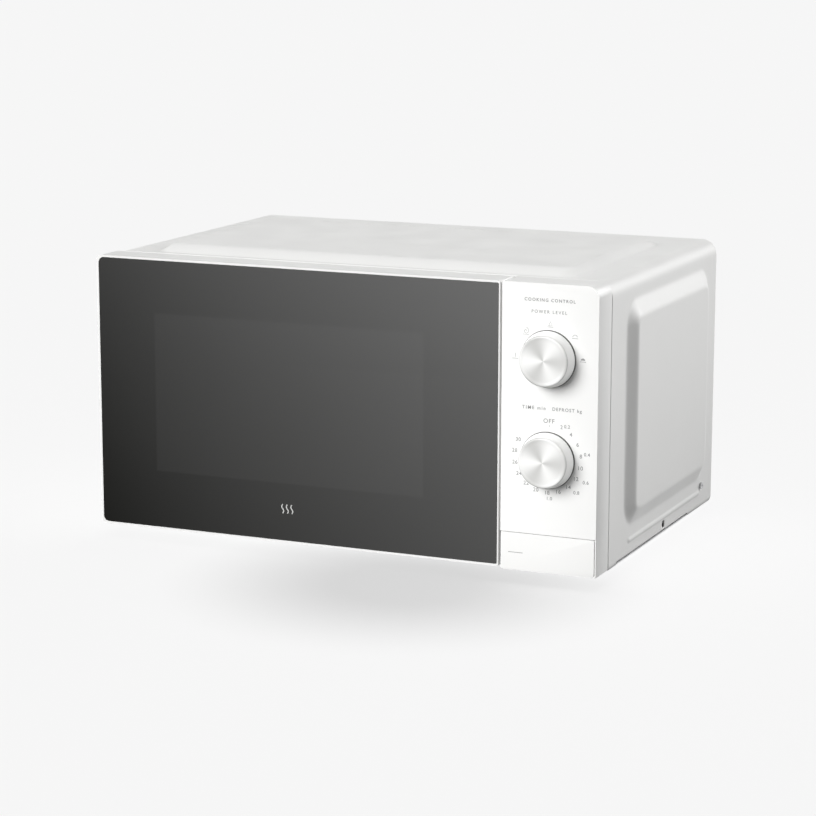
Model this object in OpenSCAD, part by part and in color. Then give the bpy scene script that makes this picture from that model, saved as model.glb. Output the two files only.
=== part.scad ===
// Compact countertop microwave oven with a left-hung glass door, two turning knobs and a push button.
// Millimetres, +Z up, front towards -Y. The origin is on the floor, in the middle of the footprint.
// Modules are written in oven coordinates: x across, y is the depth behind the door's face, z from the floor.

/* [Cabinet] */
// Width of the cabinet and of its front
body_w = 450; // [446:1:456]
// Height of the front, from its lower edge to its top
front_h = 234; // [232:1:240]
// Depth from the door's face to the rear edge of the case
body_d = 308; // [306:1:316]
// Height of the feet
foot_h = 10; // [10:1:12]
// Depth of the door and of the control panel
front_t = 30; // [30:0.5:31]
// Radius of the case's long top edges
case_r = 13; // [11:1:16]
// Height of the raised field on the case's top
plateau_rise = 5.5; // [2:0.5:6.5]
// Height of the raised field on each of the case's sides
emboss_rise = 6; // [3:0.5:7]

/* [Front] */
// Width of the control panel
panel_w = 81.2; // [80:0.1:83]
// Height of the door button, with its seam
button_h = 31.8; // [31:0.1:33]
// How far the door button travels
button_travel = 5; // [4:0.5:5]
// Radius of a knob at its base
knob_r = 22.6; // [21:0.1:24]
// How far the knobs stand out of the control panel
knob_out = 12.5; // [10:0.5:15]

/* [Oven] */
// Radius of the glass turntable plate
plate_r = 122.5; // [115:0.5:124]
// Radius of a roller wheel
wheel_r = 7; // [6.5:0.1:7]

/* [Hidden] */
$fn = 48;

// Sheet metal, clearances and the oven's main planes
sheet = 1;
gap = 0.2;
run_gap = 0.06;
half_w = body_w / 2;
floor_z = foot_h;
top_z = foot_h + front_h;
gland_out = 3.5;
front_y = -(body_d + gland_out - knob_out) / 2;
frame_y = front_t;
frame_back = frame_y + sheet;
rear_y = body_d - 2 * sheet;

// Door, control panel and button
panel_x0 = half_w - panel_w;
door_gap = 1.4;
door_x1 = panel_x0 - door_gap;
door_z0 = floor_z + 2;
door_t = front_t - 1.5;
glass_t = 3.2;
shell_t = 2.5;
corner_r = 9.5;
button_top = floor_z + button_h - 0.5;
knob_x = panel_x0 + 39.5;
knob_gap = 0.9;
shaft_r = 3;
power_z = floor_z + 174.2;
timer_z = floor_z + 92.8;

// Oven cavity and its window
cavity_x0 = -half_w + 22;
cavity_x1 = panel_x0 - 34.8;
cavity_z0 = floor_z + 22;
cavity_z1 = top_z - 20;
cavity_y1 = rear_y - 11;
turn_x = (cavity_x0 + cavity_x1) / 2;
turn_y = (frame_back + cavity_y1) / 2;
window_x0 = cavity_x0 + 36;
window_x1 = cavity_x1 - 35.5;
window_z0 = floor_z + 55;
window_z1 = top_z - 49;

// Door hinges: one upright axis behind the door's left edge
hinge_x = -half_w + 9;
hinge_y = 16;
pin_r = 3;
pin_l = 8;
arm_t = 2;
arm_half_w = 5;
upper_arm_z = top_z - 19;
lower_arm_z = floor_z + 17;

// Latch: hooks on a slider in the door, ledges on the latch board, lever behind the button
hook_x = door_x1 - 8.4;
hook_half_w = 3.5;
hook_z = [floor_z + 56, floor_z + 176];
hook_drop = 4;
ledge_t = 2.5;
lever_y = 34;
lever_z = hook_z[0] - 10;
lever_shaft_r = 2.5;
lever_reach = [14, 3.6];
lever_foot = [-1, -20];
lever_tip_r = 2;
board_x0 = hook_x - 11;
board_x1 = hook_x + 9;
board_y1 = 58;
push_x = panel_x0 + 9;

// Turntable drive
plate_z = cavity_z0 + 2 * wheel_r + 0.2;
wheel_z = cavity_z0 + wheel_r + 0.1;
wheel_track = 92;
axle_r = 2;
motor_shaft_r = 3.5;

// Cooling fan, magnetron and transformer, all in the compartment on the right
bay_x = cavity_x1 + sheet;
fan_x = bay_x + 57;
fan_z = floor_z + 120;
fan_r = 45;
magnetron_x = bay_x + 55;
magnetron_y = 163;
core_x = bay_x + 65;
core_y = 150;

function arc(cx, cy, r, from, to, steps = 6) =
    [for (i = [0:steps]) let (a = from + (to - from) * i / steps) [cx + r * cos(a), cy + r * sin(a)]];

// Outline of a rectangle with its own radius at each corner: right top, left top, left bottom, right bottom
function corners(x0, x1, y0, y1, r) = concat(
    r[0] > 0 ? arc(x1 - r[0], y1 - r[0], r[0], 0, 90) : [[x1, y1]],
    r[1] > 0 ? arc(x0 + r[1], y1 - r[1], r[1], 90, 180) : [[x0, y1]],
    r[2] > 0 ? arc(x0 + r[2], y0 + r[2], r[2], 180, 270) : [[x0, y0]],
    r[3] > 0 ? arc(x1 - r[3], y0 + r[3], r[3], 270, 360) : [[x1, y0]]
);

module oven() {
    translate([0, front_y, 0]) children();
}

module block(low, high) {
    translate(low) cube(high - low);
}

// Extrudes an x-z outline from y0 to y1
module along_y(y0, y1) {
    translate([0, y1, 0]) rotate([90, 0, 0]) linear_extrude(y1 - y0) children();
}

// Extrudes a y-z outline from x0 to x1
module along_x(x0, x1) {
    translate([x0, 0, 0]) rotate([90, 0, 90]) linear_extrude(x1 - x0) children();
}

module rod_x(y, z, r, x0, x1) {
    translate([x0, y, z]) rotate([0, 90, 0]) cylinder(r = r, h = x1 - x0);
}

module rod_y(x, z, r, y0, y1) {
    translate([x, y1, z]) rotate([90, 0, 0]) cylinder(r = r, h = y1 - y0);
}

module rod_z(x, y, r, z0, z1) {
    translate([x, y, z0]) cylinder(r = r, h = z1 - z0);
}

module mirrored_x() {
    children();
    mirror([1, 0, 0]) children();
}

// Cross-section of the case, moved inwards by d, from z0 up
module case_outline(d, z0) {
    r = max(case_r, d);
    polygon(concat(
        [[half_w - d, z0]],
        arc(half_w - r, top_z - r, r - d, 0, 90),
        arc(r - half_w, top_z - r, r - d, 90, 180),
        [[d - half_w, z0]]
    ));
}

// Raised field with sloping edges, each way with its own run; its base is sunk below the surface
module raised_field(w, l, r, rise, run) {
    sunk = 0.6;
    inner_w = w / 2 - run[0];
    inner_l = l / 2 - run[1];
    inner_r = r / 2;
    hull() {
        translate([0, 0, -sunk]) linear_extrude(0.02)
            polygon(corners(-w / 2, w / 2, -l / 2, l / 2, [r, r, r, r]));
        translate([0, 0, rise - 0.02]) linear_extrude(0.02)
            polygon(corners(-inner_w, inner_w, -inner_l, inner_l, [inner_r, inner_r, inner_r, inner_r]));
    }
}

module plateau(d) {
    translate([0, body_d / 2 - 4, top_z - d]) raised_field(382 - 2 * d, 234 - 2 * d, 14, plateau_rise, [12, 26]);
}

module side_field(d) {
    field_z = floor_z + 119.5;
    translate([half_w - d, body_d / 2 + 20, field_z]) rotate([90, 0, 90])
        raised_field(218 - 2 * d, 190 - 2 * d, 22, emboss_rise, [17, 17]);
}

// Round wire wound into a spring along +Z
module coil_spring(coil_r, wire_r, length, turns) {
    sides = 6;
    per_turn = 14;
    rings = turns * per_turn;
    rise = (length - 2 * wire_r) / rings;
    points = [
        for (i = [0:rings], s = [0:sides - 1])
            let (a = 360 * i / per_turn, b = 360 * s / sides, r = coil_r + wire_r * cos(b))
                [r * cos(a), r * sin(a), wire_r + rise * i + wire_r * sin(b)]
    ];
    walls = [
        for (i = [0:rings - 1], s = [0:sides - 1])
            let (n = (s + 1) % sides)
                [i * sides + s, i * sides + n, (i + 1) * sides + n, (i + 1) * sides + s]
    ];
    first_cap = [for (s = [sides - 1:-1:0]) s];
    last_cap = [for (s = [0:sides - 1]) rings * sides + s];
    polyhedron(points, concat([first_cap], walls, [last_cap]), convexity = 10);
}

// ---------------------------------------------------------------- cabinet

rear_lip = 16;
bend_r = 7;
lip_y = [50, 238];
screw_head_r = 3.5;
screw_r = 1.9;
rear_screws = [
    [half_w - 8.5, floor_z + 35], [half_w - 8.5, top_z - 29],
    [8.5 - half_w, floor_z + 35], [8.5 - half_w, top_z - 29],
    [-100, top_z - 8.5], [100, top_z - 8.5]
];
side_screw = [274, floor_z + 19];
side_hole = [170, floor_z + 7];
gland_x = half_w - 25;
gland_z = floor_z + 35;
gland_r = 6;
foot_x = half_w - 35;
foot_y = [60, body_d - 43];

module side_openings() {
    rod_x(side_hole[0], side_hole[1], 3.2, -half_w - 1, half_w + 1);
    rod_x(side_screw[0], side_screw[1], screw_r + gap, -half_w - 1, half_w + 1);
}

// What is cut off the case's lower rear corners
module rear_corner() {
    r = bend_r + 1;
    along_x(-half_w - 1, half_w + 1) polygon(concat(
        arc(body_d - r, floor_z + r, r, 270, 360),
        [[body_d + 1, floor_z + r], [body_d + 1, floor_z - 1], [body_d - r, floor_z - 1]]
    ));
}

// Stiffening bead low on the case's side
module side_bead() {
    bead_y = [80, 268];
    bead_z = floor_z + 12;
    along_x(half_w - 0.5, half_w + 1) polygon(concat(
        [[bead_y[1], bead_z + 0.5], [bead_y[1], bead_z + 2.5], [bead_y[1] - 1, bead_z + 3]],
        [[bead_y[0] + 1, bead_z + 3], [bead_y[0], bead_z + 2.5], [bead_y[0], bead_z + 0.5]],
        [[bead_y[0] + 1, bead_z], [bead_y[1] - 1, bead_z]]
    ));
}

// U-shaped cover of bent sheet with a rear lip and three raised fields
module outer_case() {
    color("whitesmoke") oven() difference() {
        union() {
            difference() {
                along_y(frame_y, body_d) case_outline(0, floor_z);
                along_y(frame_y - 1, body_d - sheet) case_outline(sheet, floor_z - 1);
                along_y(body_d - 2 * sheet, body_d + 1) case_outline(rear_lip, floor_z - 1);
            }
            plateau(0);
            mirrored_x() {
                side_field(0);
                side_bead();
            }
        }
        plateau(sheet);
        mirrored_x() side_field(sheet);
        block([-half_w - 1, lip_y[0], floor_z - 1], [half_w + 1, lip_y[1], floor_z + 2.2]);
        rear_corner();
        side_openings();
        for (p = rear_screws) rod_y(p[0], p[1], screw_r + gap, body_d - 5, body_d + 1);
    }
}

// Floor pan with upstands inside the case, a bent-up rear edge, ventilation slots and foot holes
module base_plate() {
    pan_x = half_w - sheet - gap;
    pan_y = [frame_back + gap, rear_y - gap];
    bend_y = pan_y[1] - bend_r;
    bend_z = floor_z + bend_r;
    color("silver") oven() difference() {
        union() {
            along_x(-pan_x, pan_x) polygon(concat(
                [[pan_y[0], floor_z + sheet], [pan_y[0], floor_z]],
                arc(bend_y, bend_z, bend_r, 270, 360),
                arc(bend_y, bend_z, bend_r - sheet, 360, 270)
            ));
            mirrored_x() block([pan_x - sheet, pan_y[0], floor_z + 0.5], [pan_x, bend_y, floor_z + 14]);
            block([-half_w, lip_y[0] + 1.5, floor_z], [half_w, lip_y[1] - 1.5, floor_z + sheet]);
        }
        mirrored_x() for (y = foot_y) rod_z(foot_x, y, 4, floor_z - 1, floor_z + 2);
        rod_x(side_hole[0], side_hole[1], 4.4, -half_w, half_w);
        for (y = [210:10:280]) block([bay_x + 8, y, floor_z - 1], [bay_x + 58, y + 4, floor_z + 2]);
        for (y = [60:10:110]) block([-150, y, floor_z - 1], [-100, y + 4, floor_z + 2]);
    }
}

// Back wall with the fan's intake, the cavity's exhaust and the gland hole
module rear_panel() {
    color("silver") oven() difference() {
        along_y(rear_y, rear_y + sheet) case_outline(sheet + gap, floor_z + bend_r + gap);
        for (i = [-5:5]) {
            z = fan_z + 8 * i;
            reach = sqrt(fan_r * fan_r - 64 * i * i) - 2;
            block([fan_x - reach, rear_y - 1, z - 2], [fan_x + reach, rear_y + 2, z + 2]);
        }
        for (i = [0:8], j = [0:1])
            block([-150 + 14 * i, rear_y - 1, 180 + 22 * j], [-144 + 14 * i, rear_y + 2, 196 + 22 * j]);
        rod_y(gland_x, gland_z, gland_r + gap / 2, rear_y - 1, rear_y + 2);
        for (p = rear_screws) rod_y(p[0], p[1], screw_r + gap, rear_y - 1, rear_y + 2);
    }
}

// Front plate around the oven's mouth, with openings for the controls, the hooks and the hinge arms
module front_frame() {
    slot_half_w = arm_half_w + 0.3;
    color("gainsboro") oven() difference() {
        along_y(frame_y, frame_back) case_outline(sheet + gap, floor_z + sheet + gap);
        block([cavity_x0, frame_y - 1, cavity_z0], [cavity_x1, frame_back + 1, cavity_z1]);
        block([panel_x0 + 4.2, frame_y - 1, floor_z + 38], [half_w - 9, frame_back + 1, top_z - 16]);
        block([panel_x0 + 4.2, frame_y - 1, floor_z + 4], [half_w - 9, frame_back + 1, floor_z + 34]);
        for (z = hook_z)
            block([hook_x - 4.5, frame_y - 1, z - 8], [hook_x + 4.5, frame_back + 1, z + 14]);
        for (z = [upper_arm_z - gap, lower_arm_z - gap]) {
            slot_top = z + arm_t + 2 * gap;
            block([hinge_x - slot_half_w, frame_y - 1, z], [hinge_x + slot_half_w, frame_back + 1, slot_top]);
        }
    }
}

module feet() {
    color("dimgray") oven() mirrored_x() for (y = foot_y) {
        translate([foot_x, y, 0]) rotate_extrude() polygon([
            [0, 0], [7.5, 0], [8.5, 1], [9.5, foot_h], [3.8, foot_h], [3.8, foot_h + 3], [0, foot_h + 3]
        ]);
    }
}

module screw(head_r, shank_r, length) {
    difference() {
        union() {
            cylinder(r = head_r, h = 1.8);
            translate([0, 0, -length]) cylinder(r = shank_r, h = length);
        }
        for (turn = [0, 90]) rotate([0, 0, turn]) block([-2, -0.4, 0.9], [2, 0.4, 2]);
    }
}

// Screws through the case's rear lip and low on its sides
module case_screws() {
    color("silver") oven() {
        for (p = rear_screws)
            translate([p[0], body_d, p[1]]) rotate([-90, 0, 0]) screw(screw_head_r, screw_r, 7);
        mirrored_x() translate([half_w, side_screw[0], side_screw[1]]) rotate([0, 90, 0]) screw(3, 1.5, 6);
    }
}

// Channel that ties the front frame to the rear panel over the component bay
module top_bracket() {
    color("silver") oven() difference() {
        block([bay_x + 2, frame_back + gap, top_z - 18], [bay_x + 20, rear_y - gap, top_z - 3]);
        block([bay_x + 3, frame_y, top_z - 17], [bay_x + 19, rear_y + 1, top_z]);
        for (i = [0:7]) rod_z(bay_x + 11, 60 + 30 * i, 3, top_z - 19, top_z);
    }
}

// Bush that the supply lead passes through; clipped into the rear panel
module cord_gland() {
    out = gland_out + sheet;
    color("black") oven() translate([gland_x, rear_y + sheet, gland_z]) rotate([-90, 0, 0])
        rotate_extrude() polygon([
            [4, -8], [gland_r, -8], [gland_r, 0], [8.3, 0], [8.3, 2], [6.5, out], [4, out]
    ]);
}

// ---------------------------------------------------------------- oven cavity

lamp_y = 245;
lamp_z = top_z - 41;
port_y = [magnetron_y - 35, magnetron_y + 35];
port_z = [top_z - 62, top_z - 30];

module cavity_section(d) {
    r = 8 - d;
    out = sheet - d;
    polygon(corners(cavity_x0 - out, cavity_x1 + out, cavity_z0 - out, cavity_z1 + out, [r, r, r, r]));
}

// Welded cooking box, open at the front
module oven_cavity() {
    color("lightgray") oven() difference() {
        along_y(frame_back, cavity_y1 + sheet) cavity_section(0);
        along_y(frame_back - 1, cavity_y1) cavity_section(sheet);
        block([cavity_x1 - 1, port_y[0], port_z[0]], [cavity_x1 + 2, port_y[1], port_z[1]]);
        rod_z(turn_x, turn_y, 9, cavity_z0 - 3, cavity_z0 + 1);
        for (i = [-2:2], j = [-1:1])
            rod_x(lamp_y + 5 * i, lamp_z + 5 * j, 1.6, cavity_x1 - 1, cavity_x1 + 2);
        for (i = [0:5], j = [0:3])
            rod_x(70 + 7 * i, floor_z + 105 + 7 * j, 2, cavity_x1 - 1, cavity_x1 + 2);
        for (i = [0:6], j = [0:3])
            rod_x(210 + 7 * i, top_z - 60 + 7 * j, 2, cavity_x0 - 2, cavity_x0 + 1);
    }
}

// Mica sheet over the waveguide's mouth
module waveguide_cover() {
    mica_t = 0.6;
    x1 = cavity_x1 - gap;
    color("tan") oven() along_x(x1 - mica_t, x1)
        polygon(corners(port_y[0] - 9, port_y[1] + 9, port_z[0] - 9, port_z[1] + 4, [4, 4, 4, 4]));
}

module waveguide() {
    x1 = magnetron_x + 40;
    y0 = magnetron_y - 40;
    y1 = magnetron_y + 40;
    z0 = top_z - 66;
    z1 = top_z - 26;
    color("silver") oven() difference() {
        block([bay_x + gap, y0, z0], [x1, y1, z1]);
        block([bay_x - 1, y0 + sheet, z0 + sheet], [x1 - sheet, y1 - sheet, z1 - sheet]);
        rod_z(magnetron_x, magnetron_y, 11, z0 - 1, z0 + 2);
    }
}

// Magnetron body: magnets and yoke, filter box and antenna
module magnetron() {
    x = magnetron_x;
    y = magnetron_y;
    top = top_z - 66 - gap;
    base = top - 82;
    color("dimgray") oven() {
        difference() {
            block([x - 38, y - 32, base + 18], [x + 38, y + 32, top]);
            block([x - 39, y - 30, base + 20], [x + 39, y + 30, top - 2]);
        }
        for (z = [base + 20, top - 16]) rod_z(x, y, 26, z, z + 14);
        rod_z(x, y, 15, base + 34, top - 16);
        block([x - 28, y - 26, base], [x + 28, y + 26, base + 18]);
        rod_z(x, y, 9, top - 2, top + 8);
        rod_z(x, y, 6, top + 8, top + 28);
    }
}

// Stack of cooling fins around the magnetron's anode
module magnetron_fins() {
    top = top_z - 66 - gap;
    count = 5;
    color("silver") oven() for (i = [0:count - 1]) {
        z = top - 44 + 5.4 * i;
        difference() {
            block([magnetron_x - 36, magnetron_y - 27, z], [magnetron_x + 36, magnetron_y + 27, z + 0.8]);
            rod_z(magnetron_x, magnetron_y, 15 + run_gap, z - 1, z + 2);
        }
    }
}

module transformer_core() {
    z0 = floor_z + sheet;
    color("dimgray") oven() difference() {
        block([core_x - 35, core_y - 32, z0], [core_x + 35, core_y + 32, z0 + 60]);
        for (side = [-1, 1])
            translate([core_x + 15 * side, core_y, z0]) block([-8, -33, 12], [8, 33, 48]);
    }
}

// Primary and secondary windings around the core's middle leg
module transformer_coils() {
    z0 = floor_z + sheet + 12.5;
    color("peru") oven() for (i = [0, 1]) {
        difference() {
            block([core_x - 22.7, core_y - 44, z0 + 18 * i], [core_x + 22.7, core_y + 44, z0 + 18 * i + 16]);
            translate([core_x, core_y, z0 + 18 * i]) block([-7.3, -32.5, -1], [7.3, 32.5, 17]);
        }
    }
}

cap_x = bay_x + 48;
cap_z = floor_z + 20;
cap_y = [212, 292];

// Oval can lying along the bay's floor, with two terminals
module capacitor() {
    color("silver") oven() {
        along_y(cap_y[0], cap_y[1])
            polygon(corners(cap_x - 26, cap_x + 26, cap_z - 17, cap_z + 17, [16, 16, 16, 16]));
        for (side = [-1, 1]) rod_y(cap_x + 9 * side, cap_z, 3, cap_y[0] - 6, cap_y[0]);
    }
}

module capacitor_strap() {
    color("gainsboro") oven() difference() {
        along_y(244, 256)
            polygon(corners(cap_x - 27.5, cap_x + 27.5, floor_z + sheet, cap_z + 18.5, [17, 17, 0, 0]));
        along_y(243, 257) polygon(corners(cap_x - 26.3, cap_x + 26.3, floor_z, cap_z + 17.3, [16, 16, 0, 0]));
    }
}

// ---------------------------------------------------------------- cooling fan

shroud_y = [276, rear_y - gap];
fan_bore_r = 2.5;

// Ring and flange around the fan, with a bridge that carries the motor
module fan_shroud() {
    color("ivory") oven() difference() {
        union() {
            rod_y(fan_x, fan_z, fan_r + 4, shroud_y[0], shroud_y[1]);
            block([fan_x - 50, shroud_y[1] - 2, fan_z - 50], [fan_x + 50, shroud_y[1], fan_z + 50]);
        }
        difference() {
            rod_y(fan_x, fan_z, fan_r + 2, shroud_y[0] - 1, shroud_y[1] + 1);
            block([fan_x - 50, shroud_y[0], fan_z - 6], [fan_x + 50, shroud_y[0] + 4, fan_z + 6]);
            rod_y(fan_x, fan_z, 9, shroud_y[0], shroud_y[0] + 4);
        }
        rod_y(fan_x, fan_z, fan_bore_r + run_gap, shroud_y[0] - 1, shroud_y[0] + 5);
    }
}

module fan_blade() {
    blade_y = [285, 299];
    color("white") oven() difference() {
        union() {
            rod_y(fan_x, fan_z, 10, blade_y[0], blade_y[1]);
            for (i = [0:4]) translate([fan_x, (blade_y[0] + blade_y[1]) / 2, fan_z]) rotate([0, 72 * i, 0])
                rotate([0, 0, 28]) block([-11, -0.8, 7], [11, 0.8, fan_r - 2]);
        }
        rod_y(fan_x, fan_z, fan_bore_r + 0.02, blade_y[0] - 1, blade_y[1] + 1);
    }
}

module fan_shaft() {
    color("silver") oven() rod_y(fan_x, fan_z, fan_bore_r, 258, 298);
}

// Laminated stack with its coil below, bolted to the shroud's bridge
module fan_motor() {
    color("slategray") oven() difference() {
        union() {
            block([fan_x - 22, 256, fan_z - 40], [fan_x + 22, 270, fan_z + 16]);
            block([fan_x - 13, 248, fan_z - 38], [fan_x + 13, shroud_y[0] - gap, fan_z - 20]);
            for (x = [fan_x - 15, fan_x + 15]) block([x - 3, 270, fan_z - 3], [x + 3, shroud_y[0], fan_z + 3]);
        }
        rod_y(fan_x, fan_z, fan_bore_r + run_gap, 255, 271);
        rod_y(fan_x, fan_z, fan_bore_r + 1, 255, 258);
    }
}

// Duct from the magnetron's fins to the cavity's inlet holes
module air_duct() {
    y0 = 62;
    y1 = magnetron_y - 41;
    z0 = floor_z + 92;
    z1 = top_z - 68;
    color("ivory") oven() difference() {
        block([bay_x + gap, y0, z0], [bay_x + 38, y1, z1]);
        block([bay_x - 1, y0 + 1.5, z0 + 1.5], [bay_x + 36.5, y1 + 1, z1 - 1.5]);
    }
}

// Open-sided box over the lamp holes
module lamp_housing() {
    color("silver") oven() difference() {
        block([bay_x + gap, lamp_y - 17, lamp_z - 13], [bay_x + 32, lamp_y + 17, lamp_z + 13]);
        block([bay_x - 1, lamp_y - 16, lamp_z - 12], [bay_x + 31, lamp_y + 16, lamp_z + 12]);
        rod_x(lamp_y, lamp_z, 6.5, bay_x + 30, bay_x + 33);
    }
}

module lamp_bulb() {
    color("lightyellow") oven() {
        rod_x(lamp_y, lamp_z, 6.3, bay_x + 22, bay_x + 42);
        translate([bay_x + 15, lamp_y, lamp_z]) rotate([0, 90, 0]) rotate_extrude() polygon(concat(
            [[0, 8]], arc(0, 0, 9, 60, -90, 12), [[0, -9]]
        ));
    }
}

// Mains filter: board, toroid and fuse
module filter_board() {
    x0 = bay_x + 26;
    z0 = top_z - 50;
    y1 = rear_y - 8;
    color("darkolivegreen") oven() {
        block([x0, y1 - 1.6, z0], [x0 + 70, y1, z0 + 38]);
        block([x0 + 44, y1 - 16, z0 + 6], [x0 + 62, y1 - 1.6, z0 + 30]);
        translate([x0 + 20, y1 - 1.6, z0 + 18]) rotate([90, 0, 0]) difference() {
            cylinder(r = 11, h = 10);
            translate([0, 0, -1]) cylinder(r = 4, h = 12);
        }
        for (p = [[5, 4], [65, 4], [5, 34], [65, 34]]) rod_y(x0 + p[0], z0 + p[1], 2.5, y1, rear_y);
    }
}

module thermal_cutout() {
    color("black") oven() {
        rod_x(226, floor_z + 110, 8, bay_x + gap, bay_x + 9);
        for (z = [floor_z + 106, floor_z + 114]) block([bay_x + 9, 225.6, z - 1], [bay_x + 17, 226.4, z + 1]);
    }
}

// ---------------------------------------------------------------- control panel

guide_y = [button_travel + 15, button_travel + 17];
spring_x = half_w - 40;
spring_z = floor_z + 14;
rib_z = [lever_z + lever_foot[1] - 5, lever_z + lever_foot[1] + 1];
blade_x = [panel_x0 + 16.6, panel_x0 + 60.6];
blade_w = 5;

// Moulded shell, open behind, with the guide wall of the door button below
module control_panel() {
    wall_x = half_w - 1.1;
    color("white") oven() difference() {
        union() {
            difference() {
                along_y(0, front_t - 0.5)
                    polygon(corners(panel_x0, half_w, floor_z, top_z, [corner_r, 0, 0, 2]));
                along_y(shell_t, front_t) polygon(corners(
                    panel_x0 + shell_t, half_w - shell_t, button_top + 3, top_z - shell_t, [7, 0, 0, 0]
                ));
                block([panel_x0 - 1, -1, floor_z - 1], [wall_x, front_t, button_top + 0.5]);
            }
            block([panel_x0 + 1, guide_y[0], floor_z + 1], [wall_x + 0.1, guide_y[1], button_top + 0.6]);
        }
        for (z = [power_z, timer_z]) rod_y(knob_x, z, shaft_r + 0.6, -1, shell_t + 1);
        block([push_x - 4.6, guide_y[0] - 1, rib_z[0] - 0.6], [push_x + 4.6, guide_y[1] + 1, rib_z[1] + 0.6]);
        for (x = blade_x)
            translate([x, guide_y[0], floor_z]) block([-0.6, -1, 5.4], [blade_w + 0.6, 3, 8.6]);
    }
}

// Push plate with its guide blades and the rib that works the lever
module door_button() {
    rib_end = lever_y + lever_foot[0] - lever_tip_r - 0.3;
    color("white") oven() {
        along_y(0, 3)
            polygon(corners(panel_x0 + 0.4, half_w - 1.3, floor_z + 0.5, button_top, [1.5, 1.5, 2, 2]));
        block([push_x - 4, 2, rib_z[0]], [push_x + 4, rib_end, rib_z[1]]);
        for (x = blade_x) block([x, 2, floor_z + 6], [x + blade_w, guide_y[1] + 3, floor_z + 8]);
        rod_y(spring_x, spring_z, 2.6, 2, 8);
    }
}

module button_spring() {
    color("silver") oven() translate([spring_x, 3.2, spring_z]) rotate([-90, 0, 0])
        coil_spring(4, 0.5, guide_y[0] - 3.4, 5);
}

// Rocker on a cross shaft: the button pushes its foot back and its toe lifts the lower hook
module release_lever() {
    foot_x = [push_x - 3, push_x + 3];
    toe_x = [hook_x - 3, hook_x + 3];
    color("lightgray") oven() {
        rod_x(lever_y, lever_z, lever_shaft_r, board_x0 + 0.5, foot_x[1] + 1);
        lever_arm(foot_x, lever_foot);
        lever_arm(toe_x, lever_reach);
    }
}

module lever_arm(x_range, tip) {
    slope = atan2(tip[1], tip[0]);
    reach = norm(tip);
    translate([0, lever_y, lever_z]) rotate([slope, 0, 0]) along_x(x_range[0], x_range[1])
        polygon(concat([[0, 1.5], [0, -1.5]], arc(reach, 0, lever_tip_r, -90, 90)));
}

// Turned knob with a drafted side and a shaft that runs in its switch
module knob(z) {
    oven() translate([knob_x, 0, z]) rotate([90, 0, 0]) {
        rotate_extrude($fn = 96) polygon([
            [0, knob_gap], [knob_r, knob_gap], [knob_r, knob_gap + 1],
            [knob_r - 2.6, knob_out - 1], [knob_r - 3.2, knob_out - 0.3], [knob_r - 4.2, knob_out],
            [knob_r - 5, knob_out - 0.3], [0, knob_out - 0.4]
        ]);
        translate([0, 0, -12]) cylinder(r = shaft_r, h = knob_gap + 12.5);
    }
}

module power_knob() {
    color("lightgray") knob(power_z);
}

module timer_knob() {
    color("lightgray") knob(timer_z);
}

// Boxed mechanism behind a knob: mounting plate, bearing bush and case
module knob_drive(z, w, h, y1) {
    oven() difference() {
        union() {
            block([knob_x - w / 2, 8, z - h / 2], [knob_x + w / 2, y1, z + h / 2]);
            block([knob_x - w / 2 - 5, shell_t + 1.5, z - 12], [knob_x + w / 2 + 5, 8, z + 12]);
        }
        rod_y(knob_x, z, shaft_r + run_gap, shell_t, 13);
        for (side = [-1, 1]) rod_y(knob_x + side * (w / 2 + 2), z, 1.5, shell_t, 9);
    }
}

module power_switch() {
    color("ivory") knob_drive(power_z, 40, 40, 34);
}

module timer_unit() {
    color("ivory") knob_drive(timer_z, 45, 44, 45);
}

// Bell cup on a post behind the timer
module timer_bell() {
    color("gold") oven() translate([knob_x, 45, timer_z]) rotate([-90, 0, 0]) rotate_extrude() polygon([
        [0, 0], [3, 0], [3, 5], [14, 4], [17, 1], [18, 1], [15, 6], [0, 7.5]
    ]);
}

// ---------------------------------------------------------------- latch

// Channel behind the front frame with a ledge for each hook and bearings for the lever's shaft
module latch_board() {
    z0 = lever_z - 8;
    z1 = hook_z[1] + 28;
    wall = 3;
    color("ivory") oven() difference() {
        union() {
            for (x = [board_x0, board_x1 - wall])
                block([x, frame_back + gap, z0], [x + wall, board_y1 - 2, z1]);
            block([board_x0, board_y1 - 2, z0], [board_x1, board_y1, z1]);
            for (z = [hook_z[0] + 34, hook_z[1] - 20, z1 - wall])
                block([board_x0, frame_back + gap, z], [board_x1, board_y1, z + wall]);
            for (z = hook_z)
                block([board_x0, lever_y - 1, z - 1 - ledge_t], [board_x1, lever_y + 2.5, z - 1]);
        }
        rod_x(lever_y, lever_z, lever_shaft_r + run_gap, board_x0 - 1, board_x1 + 1);
    }
}

// Microswitch beside the latch board
module microswitch(z) {
    color("dimgray") oven() difference() {
        union() {
            block([board_x1, 36, z], [board_x1 + 6.4, 52, z + 20]);
            for (dz = [3, 9.5, 16]) block([board_x1 + 2.8, 52, z + dz], [board_x1 + 3.6, 58, z + dz + 3]);
        }
        for (dz = [5, 15]) rod_x(40, z + dz, 1.5, board_x1 - 1, board_x1 + 8);
    }
}

module primary_switch() {
    microswitch(hook_z[1] - 10);
}

module secondary_switch() {
    microswitch(hook_z[0] + 2);
}

module monitor_switch() {
    microswitch(hook_z[0] + 50);
}

slider_z = [hook_z[0] - 16, hook_z[1] + 34];
channel_z = [slider_z[0] - 4, slider_z[1] + 22];
hook_front = lever_y + 3;

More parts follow.
